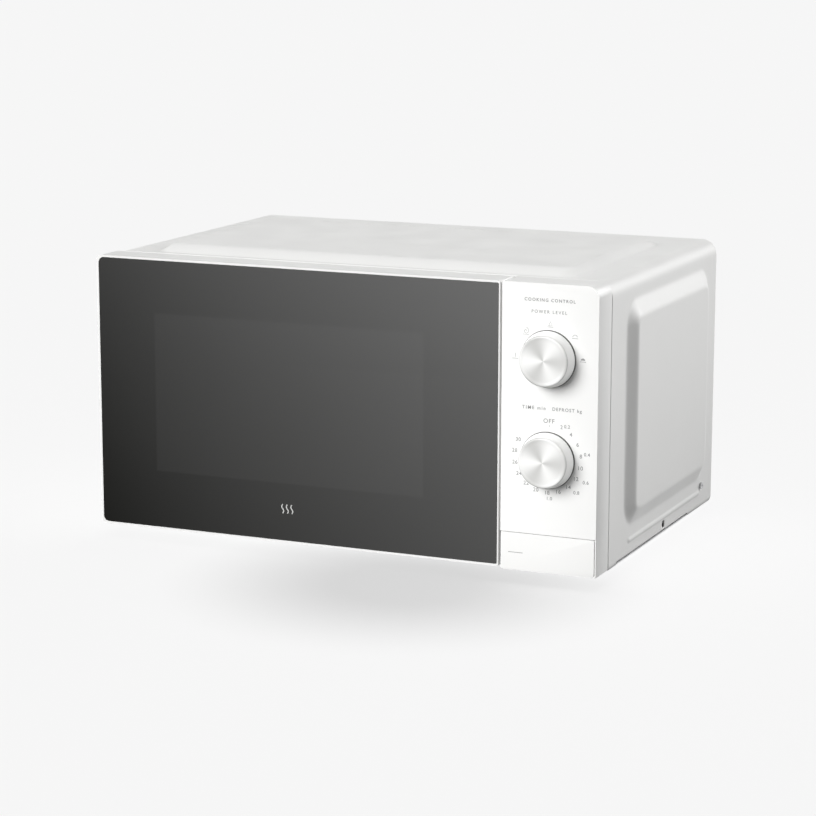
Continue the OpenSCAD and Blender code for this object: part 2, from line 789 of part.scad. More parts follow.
// Sliding bar in the door with its two hooks
module latch_hooks() {
    color("whitesmoke") oven() {
        block([hook_x - 5, 10, slider_z[0]], [hook_x + 5.2, 22, slider_z[1]]);
        for (z = hook_z) along_x(hook_x - hook_half_w, hook_x + hook_half_w) polygon([
            [21, z - 3], [24, z], [hook_front, z], [hook_front, z - hook_drop],
            [hook_front + 9, z - hook_drop], [hook_front + 13, z + 2], [hook_front + 11, z + 6], [21, z + 6]
        ]);
        rod_z(hook_x, 16, 2.2, slider_z[1], slider_z[1] + 4);
    }
}

module latch_spring() {
    color("silver") oven() translate([hook_x, 16, slider_z[1] + gap])
        coil_spring(3.3, 0.45, channel_z[1] - slider_z[1] - 2 * gap, 7);
}

// ---------------------------------------------------------------- door

rim_w = 2.6;
glass_r = [1.2, 5, 5, 1.2];
pocket_x = [cavity_x0 - 4, hook_x - 9];
pocket_z = [floor_z + 8, top_z - 6];
web_y = 6;

// Cut that lets a fixed hinge arm swing round inside the door's left wall
module hinge_slot(z) {
    block([-half_w - 1, hinge_y - 8, z - 0.5], [hinge_x, door_t + 1, z + arm_t + 0.5]);
    block([hinge_x - 1, hinge_y, z - 0.5], [hinge_x + 5.6, door_t + 1, z + arm_t + 0.5]);
    rod_z(hinge_x, hinge_y, 5.6, z - 0.5, z + arm_t + 0.5);
}

// Moulded door body: glass seat in front, choke pocket and latch channel behind
module door_frame() {
    pin_bore_r = pin_r + run_gap;
    edge_r = 6;
    color("white") oven() difference() {
        intersection() {
            along_y(0, door_t) polygon(corners(-half_w, door_x1, door_z0, top_z, [1.5, 6, 6, 1.5]));
            translate([0, 0, door_z0]) linear_extrude(front_h)
                polygon(corners(-half_w, door_x1, 0, door_t, [0.8, edge_r, 1.5, 0.8]));
        }
        along_y(-1, glass_t)
            polygon(corners(rim_w - half_w, door_x1 - 1.4, door_z0 + 1.6, top_z - 1.7, glass_r));
        block([window_x0 - 4, glass_t - 1, window_z0 - 4], [window_x1 + 4, door_t, window_z1 + 4]);
        block([pocket_x[0], web_y, pocket_z[0]], [pocket_x[1], door_t + 1, pocket_z[1]]);
        block([hook_x - 5.7, 9, channel_z[0]], [hook_x + 5.9, door_t + 1, channel_z[1]]);
        hinge_slot(upper_arm_z);
        hinge_slot(lower_arm_z);
        rod_z(hinge_x, hinge_y, pin_bore_r, upper_arm_z - pin_l - 0.5, upper_arm_z);
        rod_z(hinge_x, hinge_y, pin_bore_r, lower_arm_z + arm_t, lower_arm_z + arm_t + pin_l + 0.5);
    }
}

module door_glass() {
    slack = 0.15;
    x0 = rim_w - half_w + slack;
    x1 = door_x1 - 1.4 - slack;
    color("black") oven() along_y(gap, glass_t)
        polygon(corners(x0, x1, door_z0 + 1.6 + slack, top_z - 1.7 - slack, glass_r));
}

// Pressed steel pan: a window tube in the middle and a slotted wall round the choke channel
module choke_frame() {
    x = [pocket_x[0] + 0.5, pocket_x[1] - 0.5];
    z = [pocket_z[0] + 0.5, pocket_z[1] - 0.5];
    y0 = web_y + gap;
    y1 = 24;
    pitch = 14;
    color("silver") oven() difference() {
        union() {
            difference() {
                block([x[0], y0, z[0]], [x[1], y1, z[1]]);
                block([x[0] + 1.2, y0 + 1.2, z[0] + 1.2], [x[1] - 1.2, y1 + 1, z[1] - 1.2]);
            }
            block([window_x0 - 4, y0, window_z0 - 4], [window_x1 + 4, y1, window_z1 + 4]);
        }
        block([window_x0 - 2.8, y0 - 1, window_z0 - 2.8], [window_x1 + 2.8, y1 + 1, window_z1 + 2.8]);
        for (i = [1:21])
            translate([x[0] + pitch * i, 0, 0]) block([8, y0 + 6, z[0] - 1], [11, y1 + 1, z[1] + 1]);
    }
}

// Perforated sheet across the window
module window_screen() {
    edge = 2.6;
    color("dimgray") oven()
        block([window_x0 - edge, 22, window_z0 - edge], [window_x1 + edge, 22.6, window_z1 + edge]);
}

module inner_window() {
    color("lightblue") oven() along_y(24 + gap, 25.4)
        polygon(corners(window_x0 - 8, window_x1 + 8, window_z0 - 8, window_z1 + 8, [6, 6, 6, 6]));
}

// Plastic cover over the choke channel, with the window's opening
module choke_cover() {
    color("whitesmoke") oven() difference() {
        along_y(25.6, door_t - 0.5) polygon(corners(
            pocket_x[0] + 0.5, pocket_x[1] - 0.5, pocket_z[0] + 0.5, pocket_z[1] - 0.5, [3, 3, 3, 3]
        ));
        along_y(25, door_t) polygon(corners(window_x0, window_x1, window_z0, window_z1, [8, 8, 8, 8]));
    }
}

// Arm through the front frame with an upright pin; pin_dir is +1 for a pin that points up
module hinge(z, pin_dir) {
    tab_h = 12;
    top = z + arm_t;
    tab_top = pin_dir > 0 ? top + tab_h : top;
    pin_z = pin_dir > 0 ? [z, top + pin_l] : [z - pin_l, top];
    color("silver") oven() {
        rod_z(hinge_x, hinge_y, arm_half_w, z, top);
        block([hinge_x - arm_half_w, hinge_y, z], [hinge_x + arm_half_w, frame_back + 2, top]);
        block([hinge_x - arm_half_w, frame_back, z - tab_h], [hinge_x + arm_half_w, frame_back + 2, tab_top]);
        rod_z(hinge_x, hinge_y, pin_r, pin_z[0], pin_z[1]);
    }
}

module upper_hinge() {
    hinge(upper_arm_z, -1);
}

module lower_hinge() {
    hinge(lower_arm_z, 1);
}

// ---------------------------------------------------------------- turntable

coupler_top = plate_z - 0.4;

// Glass plate with a turned-up rim and three driving lugs under its middle
module turntable_plate() {
    glass = 5;
    rise = 12;
    color("lightcyan") oven() translate([turn_x, turn_y, plate_z]) {
        rotate_extrude($fn = 128) polygon([
            [0, 0], [plate_r - 18, 0], [plate_r - 8, 3], [plate_r, rise], [plate_r, rise + 3],
            [plate_r - 3, rise + 3], [plate_r - 10, 8.5], [plate_r - 19, glass], [0, glass]
        ]);
        for (i = [0:2]) rotate([0, 0, 120 * i + 60]) block([10, -5, -5], [20, 5, 1]);
    }
}

// Three-winged driver on the motor's shaft
module drive_coupler() {
    z0 = cavity_z0 + 1;
    color("whitesmoke") oven() translate([turn_x, turn_y, 0]) difference() {
        union() {
            translate([0, 0, z0]) cylinder(r = 8, h = coupler_top - z0);
            for (i = [0:2]) rotate([0, 0, 120 * i]) block([0, -3, z0 + 4], [19, 3, coupler_top]);
        }
        translate([0, 0, z0 - 1]) cylinder(r = motor_shaft_r + 0.03, h = 10);
    }
}

module motor_shaft() {
    color("silver") oven() rod_z(turn_x, turn_y, motor_shaft_r, floor_z + 8, cavity_z0 + 9);
}

// Flat synchronous gear motor under the cavity floor
module turntable_motor() {
    z0 = floor_z + 4;
    z1 = cavity_z0 - sheet - gap;
    color("gainsboro") oven() difference() {
        union() {
            rod_z(turn_x, turn_y, 24, z0, z1 - 1);
            along_ears(z1 - 1, z1);
            rod_z(turn_x, turn_y, 6, z1 - 1, z1);
        }
        rod_z(turn_x, turn_y, motor_shaft_r + run_gap, floor_z + 7, z1 + 1);
    }
}

module along_ears(z0, z1) {
    difference() {
        translate([turn_x, turn_y, z0]) linear_extrude(z1 - z0)
            polygon(corners(-33, 33, -8, 8, [6, 6, 6, 6]));
        for (side = [-1, 1]) rod_z(turn_x + 28 * side, turn_y, 2, z0 - 1, z1 + 1);
    }
}

wheel_w = 5;

// Ring that carries the three wheels on radial axles
module roller_ring() {
    color("whitesmoke") oven() translate([turn_x, turn_y, wheel_z]) {
        rotate_extrude($fn = 96) polygon([[80, -2], [86, -2], [86, 2], [80, 2]]);
        for (i = [0:2]) rotate([0, 0, 120 * i]) {
            rod_x(0, 0, axle_r, 85, wheel_track + 5);
            rod_x(0, 0, axle_r + 1, wheel_track + wheel_w / 2 + 0.5, wheel_track + 5);
        }
    }
}

module roller_wheel(i) {
    color("whitesmoke") oven() translate([turn_x, turn_y, wheel_z]) rotate([0, 0, 120 * i]) difference() {
        rod_x(0, 0, wheel_r, wheel_track - wheel_w / 2, wheel_track + wheel_w / 2);
        rod_x(0, 0, axle_r + run_gap, wheel_track - wheel_w, wheel_track + wheel_w);
    }
}

module roller_wheel_1() {
    roller_wheel(0);
}

module roller_wheel_2() {
    roller_wheel(1);
}

module roller_wheel_3() {
    roller_wheel(2);
}

// ---------------------------------------------------------------- draw

outer_case();
base_plate();
rear_panel();
front_frame();
feet();
case_screws();
top_bracket();
cord_gland();
oven_cavity();
waveguide_cover();
control_panel();
door_button();
button_spring();
release_lever();
power_knob();
timer_knob();
power_switch();
timer_unit();
timer_bell();
latch_board();
primary_switch();
secondary_switch();
monitor_switch();
door_frame();
door_glass();
choke_frame();
window_screen();
inner_window();
choke_cover();
latch_hooks();
latch_spring();
upper_hinge();
lower_hinge();
turntable_plate();
drive_coupler();
motor_shaft();
turntable_motor();
roller_ring();
roller_wheel_1();
roller_wheel_2();
roller_wheel_3();
waveguide();
magnetron();
magnetron_fins();
transformer_core();
transformer_coils();
capacitor();
capacitor_strap();
fan_shroud();
fan_blade();
fan_shaft();
fan_motor();
air_duct();
lamp_housing();
lamp_bulb();
filter_board();
thermal_cutout();
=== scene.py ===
"""Looks of the compact microwave oven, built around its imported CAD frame. Metres, +Z up, front towards -Y."""

import math

import bmesh
import bpy
from mathutils import Matrix, Vector


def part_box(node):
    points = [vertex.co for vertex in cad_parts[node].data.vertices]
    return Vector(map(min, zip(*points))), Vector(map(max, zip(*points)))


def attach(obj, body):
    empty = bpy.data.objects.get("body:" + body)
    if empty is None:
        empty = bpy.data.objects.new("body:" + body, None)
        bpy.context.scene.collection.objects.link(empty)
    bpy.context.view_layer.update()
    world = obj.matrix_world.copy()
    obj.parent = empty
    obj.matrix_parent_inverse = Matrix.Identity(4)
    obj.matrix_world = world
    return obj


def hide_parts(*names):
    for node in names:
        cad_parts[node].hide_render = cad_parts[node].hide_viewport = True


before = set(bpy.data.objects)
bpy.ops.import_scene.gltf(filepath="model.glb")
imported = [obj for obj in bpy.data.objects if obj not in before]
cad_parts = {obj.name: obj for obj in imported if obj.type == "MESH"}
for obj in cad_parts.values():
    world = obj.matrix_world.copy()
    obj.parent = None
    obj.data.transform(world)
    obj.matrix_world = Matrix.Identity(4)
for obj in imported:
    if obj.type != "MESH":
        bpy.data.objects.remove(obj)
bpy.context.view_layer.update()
MM = 0.001

# ---------------------------------------------------------------- places, all read from the frame

panel_lo, panel_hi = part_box("control_panel")
case_lo, case_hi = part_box("outer_case")
button_lo, button_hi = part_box("door_button")
screen_lo, screen_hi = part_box("window_screen")

FRONT_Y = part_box("door_frame")[0].y
GLASS_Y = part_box("door_glass")[0].y
HALF_W = panel_hi.x
TOP_Z = panel_hi.z
FLOOR_Z = case_lo.z
PRINT_T = 0.03 * MM


def depth(mm):
    """Row coordinate of a depth behind the door's face."""
    return FRONT_Y + mm * MM


# ---------------------------------------------------------------- camera


def make_camera():
    """Long lens, to the right of the oven and a little above it."""
    yaw, pitch, roll = (math.radians(a) for a in (23.733, 11.215, 0.072))
    data = bpy.data.cameras.new("camera")
    data.sensor_width = 36
    data.lens = 115.03
    data.clip_end = 100
    camera = bpy.data.objects.new("camera", data)
    bpy.context.scene.collection.objects.link(camera)
    ahead = Vector((-math.sin(yaw) * math.cos(pitch), math.cos(yaw) * math.cos(pitch), -math.sin(pitch)))
    level = Vector((math.cos(yaw), math.sin(yaw), 0))
    rise = level.cross(ahead)
    right = math.cos(roll) * level + math.sin(roll) * rise
    up = math.cos(roll) * rise - math.sin(roll) * level
    turn = Matrix((right, up, -ahead)).transposed()
    camera.matrix_world = Matrix.Translation((0.894, depth(-1890.5), 0.5448)) @ turn.to_4x4()
    bpy.context.scene.camera = camera


# ---------------------------------------------------------------- materials

materials = {}


class Shader:
    """One material: a Principled shader with a few procedural layers in the object's own coordinates."""

    def __init__(self, name, color, roughness, metallic=0.0, **sockets):
        self.material = bpy.data.materials.new(name)
        self.material.use_nodes = True
        self.nodes = self.material.node_tree.nodes
        self.links = self.material.node_tree.links
        self.bsdf = self.nodes["Principled BSDF"]
        self.color = color
        self.roughness = roughness
        self.bsdf.inputs["Base Color"].default_value = (*color, 1)
        self.bsdf.inputs["Roughness"].default_value = roughness
        self.bsdf.inputs["Metallic"].default_value = metallic
        for socket, value in sockets.items():
            self.bsdf.inputs[socket.replace("_", " ")].default_value = value
        self.place = self.nodes.new("ShaderNodeTexCoord").outputs["Object"]
        self.relief = None
        materials[name] = self.material

    def node(self, kind, links=(), **settings):
        """A new node: settings that are attributes are set, the others are input sockets' values."""
        made = self.nodes.new(kind)
        for key, value in settings.items():
            if hasattr(made, key):
                setattr(made, key, value)
            else:
                made.inputs[key.replace("_", " ")].default_value = value
        for socket, source in links:
            self.links.new(source, made.inputs[socket])
        return made

    def noise(self, scale, detail=3.0, stretch=(1, 1, 1)):
        source = self.place
        if stretch != (1, 1, 1):
            source = self.node("ShaderNodeMapping", [("Vector", source)], Scale=stretch).outputs[0]
        made = self.node("ShaderNodeTexNoise", [("Vector", source)], Scale=scale, Detail=detail)
        return made.outputs["Fac"]

    def span(self, source, low, high):
        """Maps a 0.3 to 0.7 noise value to low to high."""
        made = self.node("ShaderNodeMapRange", [("Value", source)])
        made.inputs["From Min"].default_value = 0.3
        made.inputs["From Max"].default_value = 0.7
        made.inputs["To Min"].default_value = low
        made.inputs["To Max"].default_value = high
        return made.outputs[0]

    def mottle(self, scale, amount, stretch=(1, 1, 1)):
        """Colour that wanders a little around its own value."""
        dark = tuple(c * (1 - amount) for c in self.color)
        light = tuple(min(1, c * (1 + amount)) for c in self.color)
        mix = self.node("ShaderNodeMix", data_type="RGBA")
        self.links.new(self.noise(scale, stretch=stretch), mix.inputs["Factor"])
        mix.inputs["A"].default_value = (*dark, 1)
        mix.inputs["B"].default_value = (*light, 1)
        self.links.new(mix.outputs["Result"], self.bsdf.inputs["Base Color"])
        return self

    def sheen_map(self, scale, amount, stretch=(1, 1, 1)):
        """Roughness that wanders a little, as handled and moulded surfaces do."""
        low, high = max(0.02, self.roughness - amount), min(1, self.roughness + amount)
        wander = self.span(self.noise(scale, stretch=stretch), low, high)
        self.links.new(wander, self.bsdf.inputs["Roughness"])
        return self

    def bumps(self, scale, height, stretch=(1, 1, 1), detail=2.0):
        """Relief of the given height in metres; layers add up."""
        return self.relief_from(self.noise(scale, detail, stretch), height)

    def relief_from(self, source, height):
        bump = self.node("ShaderNodeBump", [("Height", source)], Strength=1.0, Distance=height)
        if self.relief is not None:
            self.links.new(self.relief, bump.inputs["Normal"])
        self.relief = bump.outputs[0]
        self.links.new(self.relief, self.bsdf.inputs["Normal"])
        return self


def front_plastic():
    """Semi-gloss white moulding with a faint flow texture."""
    s = Shader("front_white", (0.80, 0.80, 0.79), 0.40, Specular_IOR_Level=0.42)
    s.mottle(14, 0.012).sheen_map(60, 0.05)


def case_paint():
    """Powder coat over bent steel: fine orange peel and a hint of unevenness."""
    s = Shader("case_white", (0.79, 0.79, 0.78), 0.44, Specular_IOR_Level=0.28)
    s.mottle(9, 0.012).sheen_map(35, 0.05).bumps(900, 0.00001).bumps(300, 0.00002)


def door_glass():
    """Dark tinted pane; the field over the window is a shade lighter than its printed border."""
    gloss = dict(Specular_IOR_Level=0.5, Coat_Weight=0.35, Coat_Roughness=0.04)
    s = Shader("tinted_glass", (0.012, 0.012, 0.011), 0.16, **gloss)
    s.sheen_map(8, 0.02)
    parts = s.node("ShaderNodeSeparateXYZ", [("Vector", s.place)])
    inside = None
    for axis, low, high in (("X", screen_lo.x, screen_hi.x), ("Z", screen_lo.z, screen_hi.z)):
        away = s.node("ShaderNodeMath", [(0, parts.outputs[axis])], operation="SUBTRACT")
        away.inputs[1].default_value = (low + high) / 2
        away = s.node("ShaderNodeMath", [(0, away.outputs[0])], operation="ABSOLUTE")
        edge = s.node("ShaderNodeMapRange", [("Value", away.outputs[0])])
        edge.inputs["From Min"].default_value = (high - low) / 2 + 0.5 * MM
        edge.inputs["From Max"].default_value = (high - low) / 2 - 0.5 * MM
        if inside is None:
            inside = edge.outputs[0]
        else:
            both = s.node("ShaderNodeMath", [(0, inside), (1, edge.outputs[0])], operation="MULTIPLY")
            inside = both.outputs[0]
    mix = s.node("ShaderNodeMix", [("Factor", inside)], data_type="RGBA")
    mix.inputs["A"].default_value = (0.010, 0.010, 0.009, 1)
    mix.inputs["B"].default_value = (0.017, 0.017, 0.016, 1)
    s.links.new(mix.outputs["Result"], s.bsdf.inputs["Base Color"])


def knob_metal(name, centre, out):
    """Spun pearl-white metal: fine rings; on the face a painted reflection, a soft fan of light and dark
    sectors; the side painted lighter than the face as painted light.
    """
    s = Shader(name, (0.80, 0.80, 0.79), 0.38, metallic=0.08, Anisotropic=0.5, Specular_IOR_Level=0.4)
    offset = s.node("ShaderNodeVectorMath", [(0, s.place)], operation="SUBTRACT")
    offset.inputs[1].default_value = centre
    parts = s.node("ShaderNodeSeparateXYZ", [("Vector", offset.outputs[0])])
    square = []
    for axis in ("X", "Z"):
        power = s.node("ShaderNodeMath", [(0, parts.outputs[axis])], operation="POWER")
        power.inputs[1].default_value = 2
        square.append(power.outputs[0])
    radius = s.node("ShaderNodeMath", [(0, square[0]), (1, square[1])], operation="ADD")
    radius = s.node("ShaderNodeMath", [(0, radius.outputs[0])], operation="SQRT")
    across = [(0, parts.outputs["X"]), (1, parts.outputs["Z"])]
    angle = s.node("ShaderNodeMath", across, operation="ARCTAN2")
    # Painted reflection: three light and three dark sectors stand in for the spun metal's reflection, and turn
    # with the knob.
    fan = s.node("ShaderNodeMath", [(0, angle.outputs[0])], operation="MULTIPLY_ADD")
    fan.inputs[1].default_value = 3
    fan.inputs[2].default_value = 0
    fan = s.node("ShaderNodeMath", [(0, fan.outputs[0])], operation="SINE")
    tone = s.node("ShaderNodeMapRange", [("Value", fan.outputs[0])])
    tone.inputs["From Min"].default_value = -1
    painted_reflection_sectors = s.node("ShaderNodeMix", [("Factor", tone.outputs[0])], data_type="RGBA")
    painted_reflection_sectors.inputs["A"].default_value = (0.47, 0.47, 0.46, 1)
    painted_reflection_sectors.inputs["B"].default_value = (0.73, 0.73, 0.72, 1)
    # Painted light: face and side are one metal, and the side is given a lighter colour to stand for light it
    # does not get.
    face = s.node("ShaderNodeMapRange", [("Value", parts.outputs["Y"])])
    face.inputs["From Min"].default_value = (1.8 - out) * MM
    face.inputs["From Max"].default_value = (0.9 - out) * MM
    mix = s.node("ShaderNodeMix", [("Factor", face.outputs[0])], data_type="RGBA")
    mix.inputs["A"].default_value = (0.86, 0.86, 0.85, 1)
    s.links.new(painted_reflection_sectors.outputs["Result"], mix.inputs["B"])
    s.links.new(mix.outputs["Result"], s.bsdf.inputs["Base Color"])
    rings = s.node("ShaderNodeMath", [(0, radius.outputs[0])], operation="MULTIPLY")
    rings.inputs[1].default_value = 2 * math.pi / (0.35 * MM)
    rings = s.node("ShaderNodeMath", [(0, rings.outputs[0])], operation="SINE")
    s.relief_from(rings.outputs[0], 0.000004)
    s.sheen_map(500, 0.06)
    tangent = s.node("ShaderNodeTangent", direction_type="RADIAL", axis="Y")
    s.links.new(tangent.outputs[0], s.bsdf.inputs["Tangent"])


def simple_materials():
    """Materials that are one surface finish each."""
    Shader("oven_enamel", (0.62, 0.62, 0.60), 0.38).mottle(25, 0.03).sheen_map(30, 0.08).bumps(700, 0.00002)
    Shader("zinc_sheet", (0.62, 0.62, 0.63), 0.42, metallic=0.6).mottle(90, 0.10).sheen_map(140, 0.1).bumps(
        1500, 0.00001)
    Shader("screw_metal", (0.60, 0.60, 0.61), 0.42, metallic=0.85).mottle(400, 0.06).sheen_map(900, 0.08)
    Shader("spring_wire", (0.50, 0.50, 0.51), 0.28, metallic=1.0).mottle(900, 0.08).sheen_map(2000, 0.08)
    Shader("black_moulding", (0.025, 0.025, 0.025), 0.5).mottle(200, 0.1).bumps(1600, 0.00003)
    Shader("foot_rubber", (0.035, 0.035, 0.034), 0.75).mottle(150, 0.15).bumps(1300, 0.00005)
    Shader("natural_moulding", (0.72, 0.71, 0.66), 0.45).mottle(60, 0.03).sheen_map(90, 0.06).bumps(
        800, 0.00002)
    Shader("tough_white", (0.74, 0.74, 0.72), 0.42).mottle(60, 0.02).sheen_map(90, 0.06).bumps(900, 0.00002)
    mica = Shader("mica_sheet", (0.42, 0.36, 0.26), 0.40, Specular_IOR_Level=0.6)
    mica.mottle(120, 0.30).sheen_map(200, 0.15).bumps(500, 0.00004)
    Shader("brass_bell", (0.72, 0.56, 0.26), 0.30, metallic=1.0).mottle(80, 0.08).sheen_map(200, 0.1)
    Shader("winding", (0.42, 0.17, 0.06), 0.35, metallic=0.6).mottle(300, 0.2).bumps(
        90, 0.0002, stretch=(0.3, 0.3, 30))
    Shader("lamination", (0.10, 0.10, 0.11), 0.5, metallic=0.6).mottle(60, 0.2).bumps(
        60, 0.0002, stretch=(0.2, 30, 0.2))
    Shader("magnetron_plate", (0.40, 0.41, 0.42), 0.35, metallic=0.95).mottle(60, 0.1).sheen_map(100, 0.1)
    Shader("can_metal", (0.66, 0.67, 0.68), 0.32, metallic=1.0).mottle(40, 0.06).sheen_map(
        200, 0.1, stretch=(1, 12, 1))
    Shader("circuit_board", (0.07, 0.13, 0.04), 0.42).mottle(260, 0.3).bumps(700, 0.00005)
    Shader("motor_case", (0.46, 0.47, 0.49), 0.40, metallic=0.8).mottle(80, 0.08).sheen_map(160, 0.1)
    Shader("screen_black", (0.02, 0.02, 0.02), 0.45, metallic=0.3).mottle(200, 0.2).sheen_map(300, 0.1)
    Shader("ink", (0.22, 0.22, 0.22), 0.6).mottle(800, 0.08)
    Shader("pale_ink", (0.27, 0.27, 0.27), 0.6).mottle(800, 0.08)
    # Dark grey of the painted shade rings at the knobs' feet; the stage's shadow screens use it too.
    Shader("shade_ring_grey", (0.12, 0.12, 0.12), 0.6).mottle(400, 0.1)
    Shader("ink_on_glass", (0.55, 0.55, 0.54), 0.45).mottle(800, 0.08)
    clear = dict(Transmission_Weight=1.0, IOR=1.5)
    Shader("plate_glass", (0.90, 0.95, 0.93), 0.05, **clear).sheen_map(40, 0.03).bumps(60, 0.00003)
    Shader("clear_film", (0.92, 0.93, 0.93), 0.06, Transmission_Weight=1.0, IOR=1.45).sheen_map(30, 0.03)
    Shader("bulb_glass", (0.95, 0.93, 0.85), 0.08, **clear).sheen_map(200, 0.04)


NODE_FINISH = {
    "front_white": ("door_frame",),
    "tough_white": (
        "choke_cover", "latch_hooks", "release_lever", "drive_coupler", "roller_ring", "latch_board",
        "roller_wheel_1", "roller_wheel_2", "roller_wheel_3", "fan_blade",
    ),
    "tinted_glass": ("door_glass",),
    "clear_film": ("inner_window",),
    "oven_enamel": ("front_frame", "oven_cavity"),
    "zinc_sheet": (
        "base_plate", "rear_panel", "top_bracket", "waveguide", "lamp_housing", "choke_frame",
        "capacitor_strap", "magnetron_fins",
    ),
    "screw_metal": ("case_screws", "upper_hinge", "lower_hinge", "motor_shaft", "fan_shaft"),
    "black_moulding": (
        "cord_gland", "primary_switch", "secondary_switch", "monitor_switch", "thermal_cutout",
    ),
    "foot_rubber": ("feet",),
    "natural_moulding": ("power_switch", "timer_unit", "fan_shroud", "air_duct"),
    "mica_sheet": ("waveguide_cover",),
    "brass_bell": ("timer_bell",),
    "winding": ("transformer_coils",),
    "lamination": ("transformer_core",),
    "magnetron_plate": ("magnetron",),
    "can_metal": ("capacitor",),
    "circuit_board": ("filter_board",),
    "motor_case": ("turntable_motor", "fan_motor"),
    "plate_glass": ("turntable_plate",),
    "bulb_glass": ("lamp_bulb",),
}

# Edge radii, in mm, of CAD nodes whose rounded edges are seen
EDGE_RADIUS = {"door_frame": 0.6, "door_glass": 0.3, "feet": 0.5, "choke_cover": 0.4}


def dress(name, material):
    """Gives a CAD node its one material."""
    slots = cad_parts[name].data.materials
    slots.clear()
    slots.append(materials[material])


def soften(piece, radius, angle=35):
    """Rounds a CAD mesh's sharp edges, after its triangles are joined along their shared corners."""
    weld = piece.modifiers.new("weld", "WELD")
    weld.merge_threshold = 0.00001
    bevel = piece.modifiers.new("bevel", "BEVEL")
    bevel.width = radius * MM
    bevel.segments = 3
    bevel.limit_method = "ANGLE"
    bevel.angle_limit = math.radians(angle)
    bevel.harden_normals = True


def dress_nodes():
    for material, names in NODE_FINISH.items():
        for name in names:
            dress(name, material)
    for name, radius in EDGE_RADIUS.items():
        soften(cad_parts[name], radius)


# ---------------------------------------------------------------- mesh helpers


def piece_from(name, vertices, faces, material, body, smooth=True):
    mesh = bpy.data.meshes.new(name)
    mesh.from_pydata(vertices, [], faces)
    mesh.update()
    if smooth:
        mesh.shade_smooth()
    piece = bpy.data.objects.new(name, mesh)
    bpy.context.scene.collection.objects.link(piece)
    mesh.materials.append(materials[material])
    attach(piece, body)
    return piece


def settle(piece):
    """Applies a piece's modifiers."""
    graph = bpy.context.evaluated_depsgraph_get()
    mesh = bpy.data.meshes.new_from_object(piece.evaluated_get(graph))
    piece.modifiers.clear()
    piece.data = mesh


def lathe(profile, centre, steps=128):
    """Turns (radius, depth towards the viewer) points about a front-to-back axis; both in mm."""
    vertices, faces = [], []
    for radius, out in profile:
        for i in range(steps):
            angle = 2 * math.pi * i / steps
            x, z = centre.x + radius * MM * math.cos(angle), centre.z + radius * MM * math.sin(angle)
            vertices.append((x, centre.y - out * MM, z))
    rings = len(profile)
    for r in range(rings - 1):
        for i in range(steps):
            n = (i + 1) % steps
            faces.append((r * steps + i, r * steps + n, (r + 1) * steps + n, (r + 1) * steps + i))
    faces.append(tuple(range(steps))[::-1])
    faces.append(tuple((rings - 1) * steps + i for i in range(steps)))
    return vertices, faces


def spaced(*stops):
    """Positions from the first stop to the last; each stop is (position, step up to the next)."""
    out = []
    for (start, step), (end, _) in zip(stops, stops[1:]):
        count = max(1, round((end - start) / step))
        out += [start + (end - start) * i / count for i in range(count)]
    return out + [stops[-1][0]]


def fillet_ramp(t, share=0.2):
    """0 to 1 ramp with rounded ends."""
    t = min(1, max(0, t))
    if t < share:
        return t * t / (2 * share * (1 - share))
    if t > 1 - share:
        return 1 - (1 - t) ** 2 / (2 * share * (1 - share))
    return (t - share / 2) / (1 - share)


def field_share(a, b, flat, run, rounding):
    """Height of a raised field at (a, b) from its middle, 0 to 1: flat, then a slope as long as run."""
    away = [max(0, (abs(v) - f) / r + rounding) for v, f, r in zip((a, b), flat, run)]
    return fillet_ramp(1 + rounding - math.hypot(*away))


# ---------------------------------------------------------------- case cover


